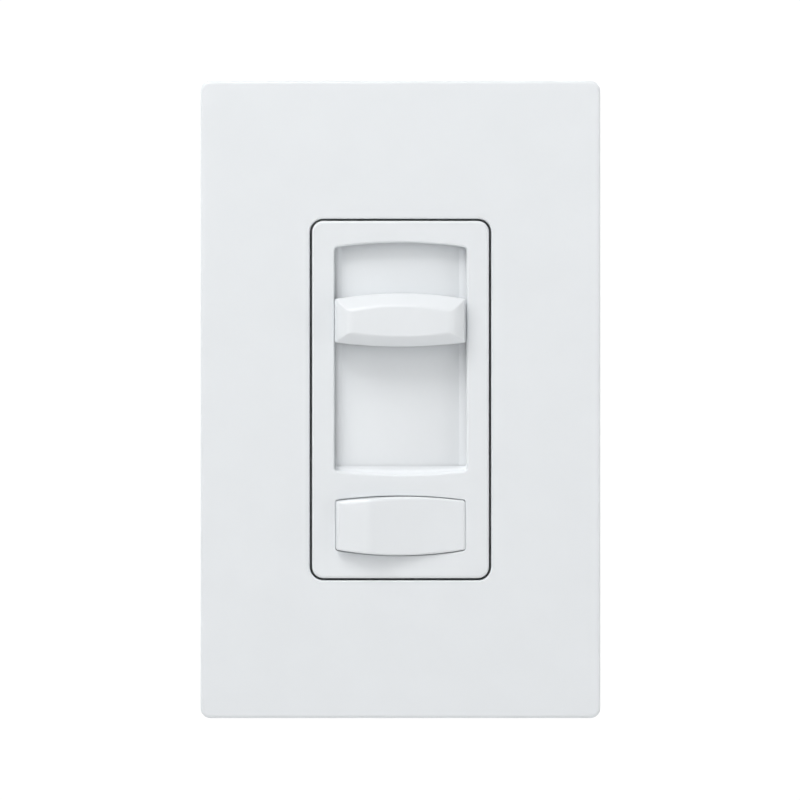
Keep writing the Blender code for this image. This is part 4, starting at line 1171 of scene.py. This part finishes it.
def laminate(name, mask, copper, roughness):
    """A circuit board's resist, with tracks showing through it as a paler, raised pattern."""
    made, tree, shader, coordinates = shader_tree(name)
    node = tree.nodes.new("ShaderNodeTexVoronoi")
    node.distance = "CHEBYCHEV"
    node.inputs["Scale"].default_value = 1 / (TRACK_PITCH * MM)
    tree.links.new(coordinates, node.inputs["Vector"])
    tracks = mapped(tree, node.outputs["Distance"], TRACK_EDGE, (0.0, 1.0)).outputs["Result"]
    gloss = glossed(tree, noise(tree, coordinates, TRACK_GLOSS), roughness, TRACK_SPREAD)
    size, depth = WEAVE
    relief = bumped(tree, noise(tree, coordinates, size), depth, bumped(tree, tracks, TRACK_DEPTH))
    dress(tree, shader, tinted(tree, tracks, mask, copper), gloss, relief)
    return made


SATIN_WHITE = moulded("satin_white", (0.80, 0.825, 0.845), 0.34)
MATT_WHITE = moulded("matt_white", (0.78, 0.79, 0.80), 0.5, 0.2, 0.006)
NYLON = moulded("nylon", (0.72, 0.71, 0.65), 0.42)
DARK_PLASTIC = moulded("dark_plastic", (0.035, 0.036, 0.04), 0.5, 0.4, 0.03)
YOKE_METAL = rolled("yoke_metal", (0.62, 0.63, 0.64), 0.36)
ZINC = moulded("zinc", (0.58, 0.59, 0.60), 0.3, metallic=1.0)
GREEN_ZINC = moulded("green_zinc", (0.04, 0.28, 0.09), 0.35, metallic=0.5)
BRASS = moulded("brass", (0.74, 0.56, 0.26), 0.28, metallic=1.0)
BRONZE = moulded("bronze", (0.66, 0.42, 0.25), 0.3, metallic=1.0)
COPPER = wound("copper", (0.60, 0.26, 0.12))
FIBRE = flecked("fibre", (0.38, 0.27, 0.17), (0.26, 0.17, 0.1), 0.8)
GREEN_BOARD = laminate("green_board", (0.03, 0.16, 0.07), (0.06, 0.24, 0.09), 0.35)
BROWN_BOARD = laminate("brown_board", (0.26, 0.15, 0.07), (0.34, 0.2, 0.09), 0.45)
FERRITE = moulded("ferrite", (0.05, 0.05, 0.055), 0.65)
EPOXY = moulded("epoxy", (0.03, 0.03, 0.032), 0.4)
YELLOW = moulded("yellow_case", (0.72, 0.50, 0.08), 0.35)
RED = moulded("red_case", (0.45, 0.07, 0.05), 0.3)
BLUE = moulded("blue_epoxy", (0.05, 0.13, 0.38), 0.3)
TAN = banded("tan_lacquer", (0.58, 0.43, 0.27), -12.8, 6.4, [
    (0.12, (0.16, 0.06, 0.02)),
    (0.32, (0.01, 0.01, 0.01)),
    (0.5, (0.65, 0.2, 0.02)),
    (0.76, (0.6, 0.42, 0.12)),
])

FINISHES = {
    "white_plastic": SATIN_WHITE,
    "white_matte_plastic": MATT_WHITE,
    "nylon": NYLON,
    "yoke_aluminium": YOKE_METAL,
    "zinc_steel": ZINC,
    "green_steel": GREEN_ZINC,
    "brass": BRASS,
    "bronze": BRONZE,
    "winding_copper": COPPER,
    "housing_plastic": DARK_PLASTIC,
    "fibre": FIBRE,
    "circuit_board": GREEN_BOARD,
    "track_board": BROWN_BOARD,
    "component_epoxy": EPOXY,
    "ferrite": FERRITE,
    "yellow_case": YELLOW,
    "red_case": RED,
    "blue_epoxy": BLUE,
    "tan_lacquer": TAN,
}


def refine_node(node):
    """Give a carried-over CAD node softened edges and its slot's material."""
    slots = [slot.material.name for slot in node.material_slots]
    for slot, name in zip(node.material_slots, slots):
        slot.material = FINISHES[name]
    add_soft_edges(node, SOFT_EDGE)


def add_soft_edges(piece, width):
    """Clear the needless edges of flat faces, and round the edges that turn sharply."""
    weld = piece.modifiers.new("weld", "WELD")
    weld.merge_threshold = MERGE * MM
    flatten = piece.modifiers.new("flatten", "DECIMATE")
    flatten.decimate_type = "DISSOLVE"
    flatten.angle_limit = math.radians(FLAT_ANGLE)
    soften = piece.modifiers.new("soften", "BEVEL")
    soften.width = width * MM
    soften.segments = 2
    soften.limit_method = "ANGLE"
    soften.angle_limit = math.radians(BEVEL_ANGLE)


# ---------------------------------------------------------------- studio

def add_light(name, place, size, power):
    """A square softbox at a place in metres, turned to the object."""
    light = bpy.data.lights.new(name, "AREA")
    light.shape = "SQUARE"
    light.size = size
    light.energy = power
    item = bpy.data.objects.new(name, light)
    item.location = place
    item.rotation_euler = (-Vector(place)).to_track_quat("-Z", "Y").to_euler()
    bpy.context.scene.collection.objects.link(item)


def make_studio():
    """A pale floor that fades into a white surround, and softboxes in front, above and behind."""
    scene = bpy.context.scene
    scene.view_settings.view_transform = "Standard"
    world = bpy.data.worlds.new("surround")
    world.use_nodes = True
    tree = world.node_tree
    ambient = tree.nodes["Background"]
    ambient.inputs["Color"].default_value = (1.0, 1.0, 1.0, 1.0)
    direction = tree.nodes.new("ShaderNodeTexCoord").outputs["Generated"]
    parts = tree.nodes.new("ShaderNodeSeparateXYZ")
    tree.links.new(direction, parts.inputs[0])
    blend = mapped(tree, parts.outputs["Y"], AMBIENT_TURN, AMBIENT)
    blend.interpolation_type = "SMOOTHSTEP"
    tree.links.new(blend.outputs["Result"], ambient.inputs["Strength"])
    white = tree.nodes.new("ShaderNodeBackground")
    white.inputs["Color"].default_value = (1.0, 1.0, 1.0, 1.0)
    white.inputs["Strength"].default_value = SEEN_WHITE
    seen = tree.nodes.new("ShaderNodeLightPath").outputs["Is Camera Ray"]
    mix = tree.nodes.new("ShaderNodeMixShader")
    tree.links.new(seen, mix.inputs[0])
    tree.links.new(ambient.outputs[0], mix.inputs[1])
    tree.links.new(white.outputs[0], mix.inputs[2])
    tree.links.new(mix.outputs[0], tree.nodes["World Output"].inputs["Surface"])
    scene.world = world
    bpy.ops.mesh.primitive_plane_add(size=2 * FLOOR_REACH, location=(0.0, 0.0, FLOOR_Z))
    floor = bpy.context.object
    floor.name = "studio_floor"
    paint = moulded("floor_paint", FLOOR_COLOUR, FLOOR_ROUGHNESS)
    tree = paint.node_tree
    coordinates = tree.nodes["Texture Coordinate"].outputs["Object"]
    distance = tree.nodes.new("ShaderNodeVectorMath")
    distance.operation = "LENGTH"
    tree.links.new(stretched(tree, coordinates, (1 / FLOOR_REACH,) * 3), distance.inputs[0])
    glow = tree.nodes.new("ShaderNodeMath")
    glow.operation = "POWER"
    glow.use_clamp = True
    glow.inputs[1].default_value = FLOOR_FADE
    tree.links.new(distance.outputs["Value"], glow.inputs[0])
    shader = tree.nodes["Principled BSDF"]
    shader.inputs["Emission Color"].default_value = (1.0, 1.0, 1.0, 1.0)
    tree.links.new(glow.outputs["Value"], shader.inputs["Emission Strength"])
    floor.data.materials.append(paint)
    for name, box in SOFTBOXES.items():
        add_light(name, *box)


def make_camera():
    """A long lens square to the plate, framed as wide as the plate's height allows."""
    camera = bpy.data.cameras.new("camera")
    camera.lens = LENS
    camera.sensor_width = SENSOR
    seen = (PLATE_HIGH.z - PLATE_LOW.z) * MM / PLATE_SHARE
    distance = seen / camera.sensor_width * camera.lens
    item = bpy.data.objects.new("camera", camera)
    item.location = (AIM * MM, PLATE_LOW.y * MM - distance, AIM * MM)
    item.rotation_euler = (math.pi / 2, 0.0, 0.0)
    bpy.context.scene.collection.objects.link(item)
    bpy.context.scene.camera = item


make_cover_plate()
make_bezel()
make_floor_panel()
make_slider_knob()
make_rocker_paddle()
make_screws()
make_back_housing()
for node in NODES.values():
    if not node.hide_render:
        refine_node(node)
make_studio()
make_camera()
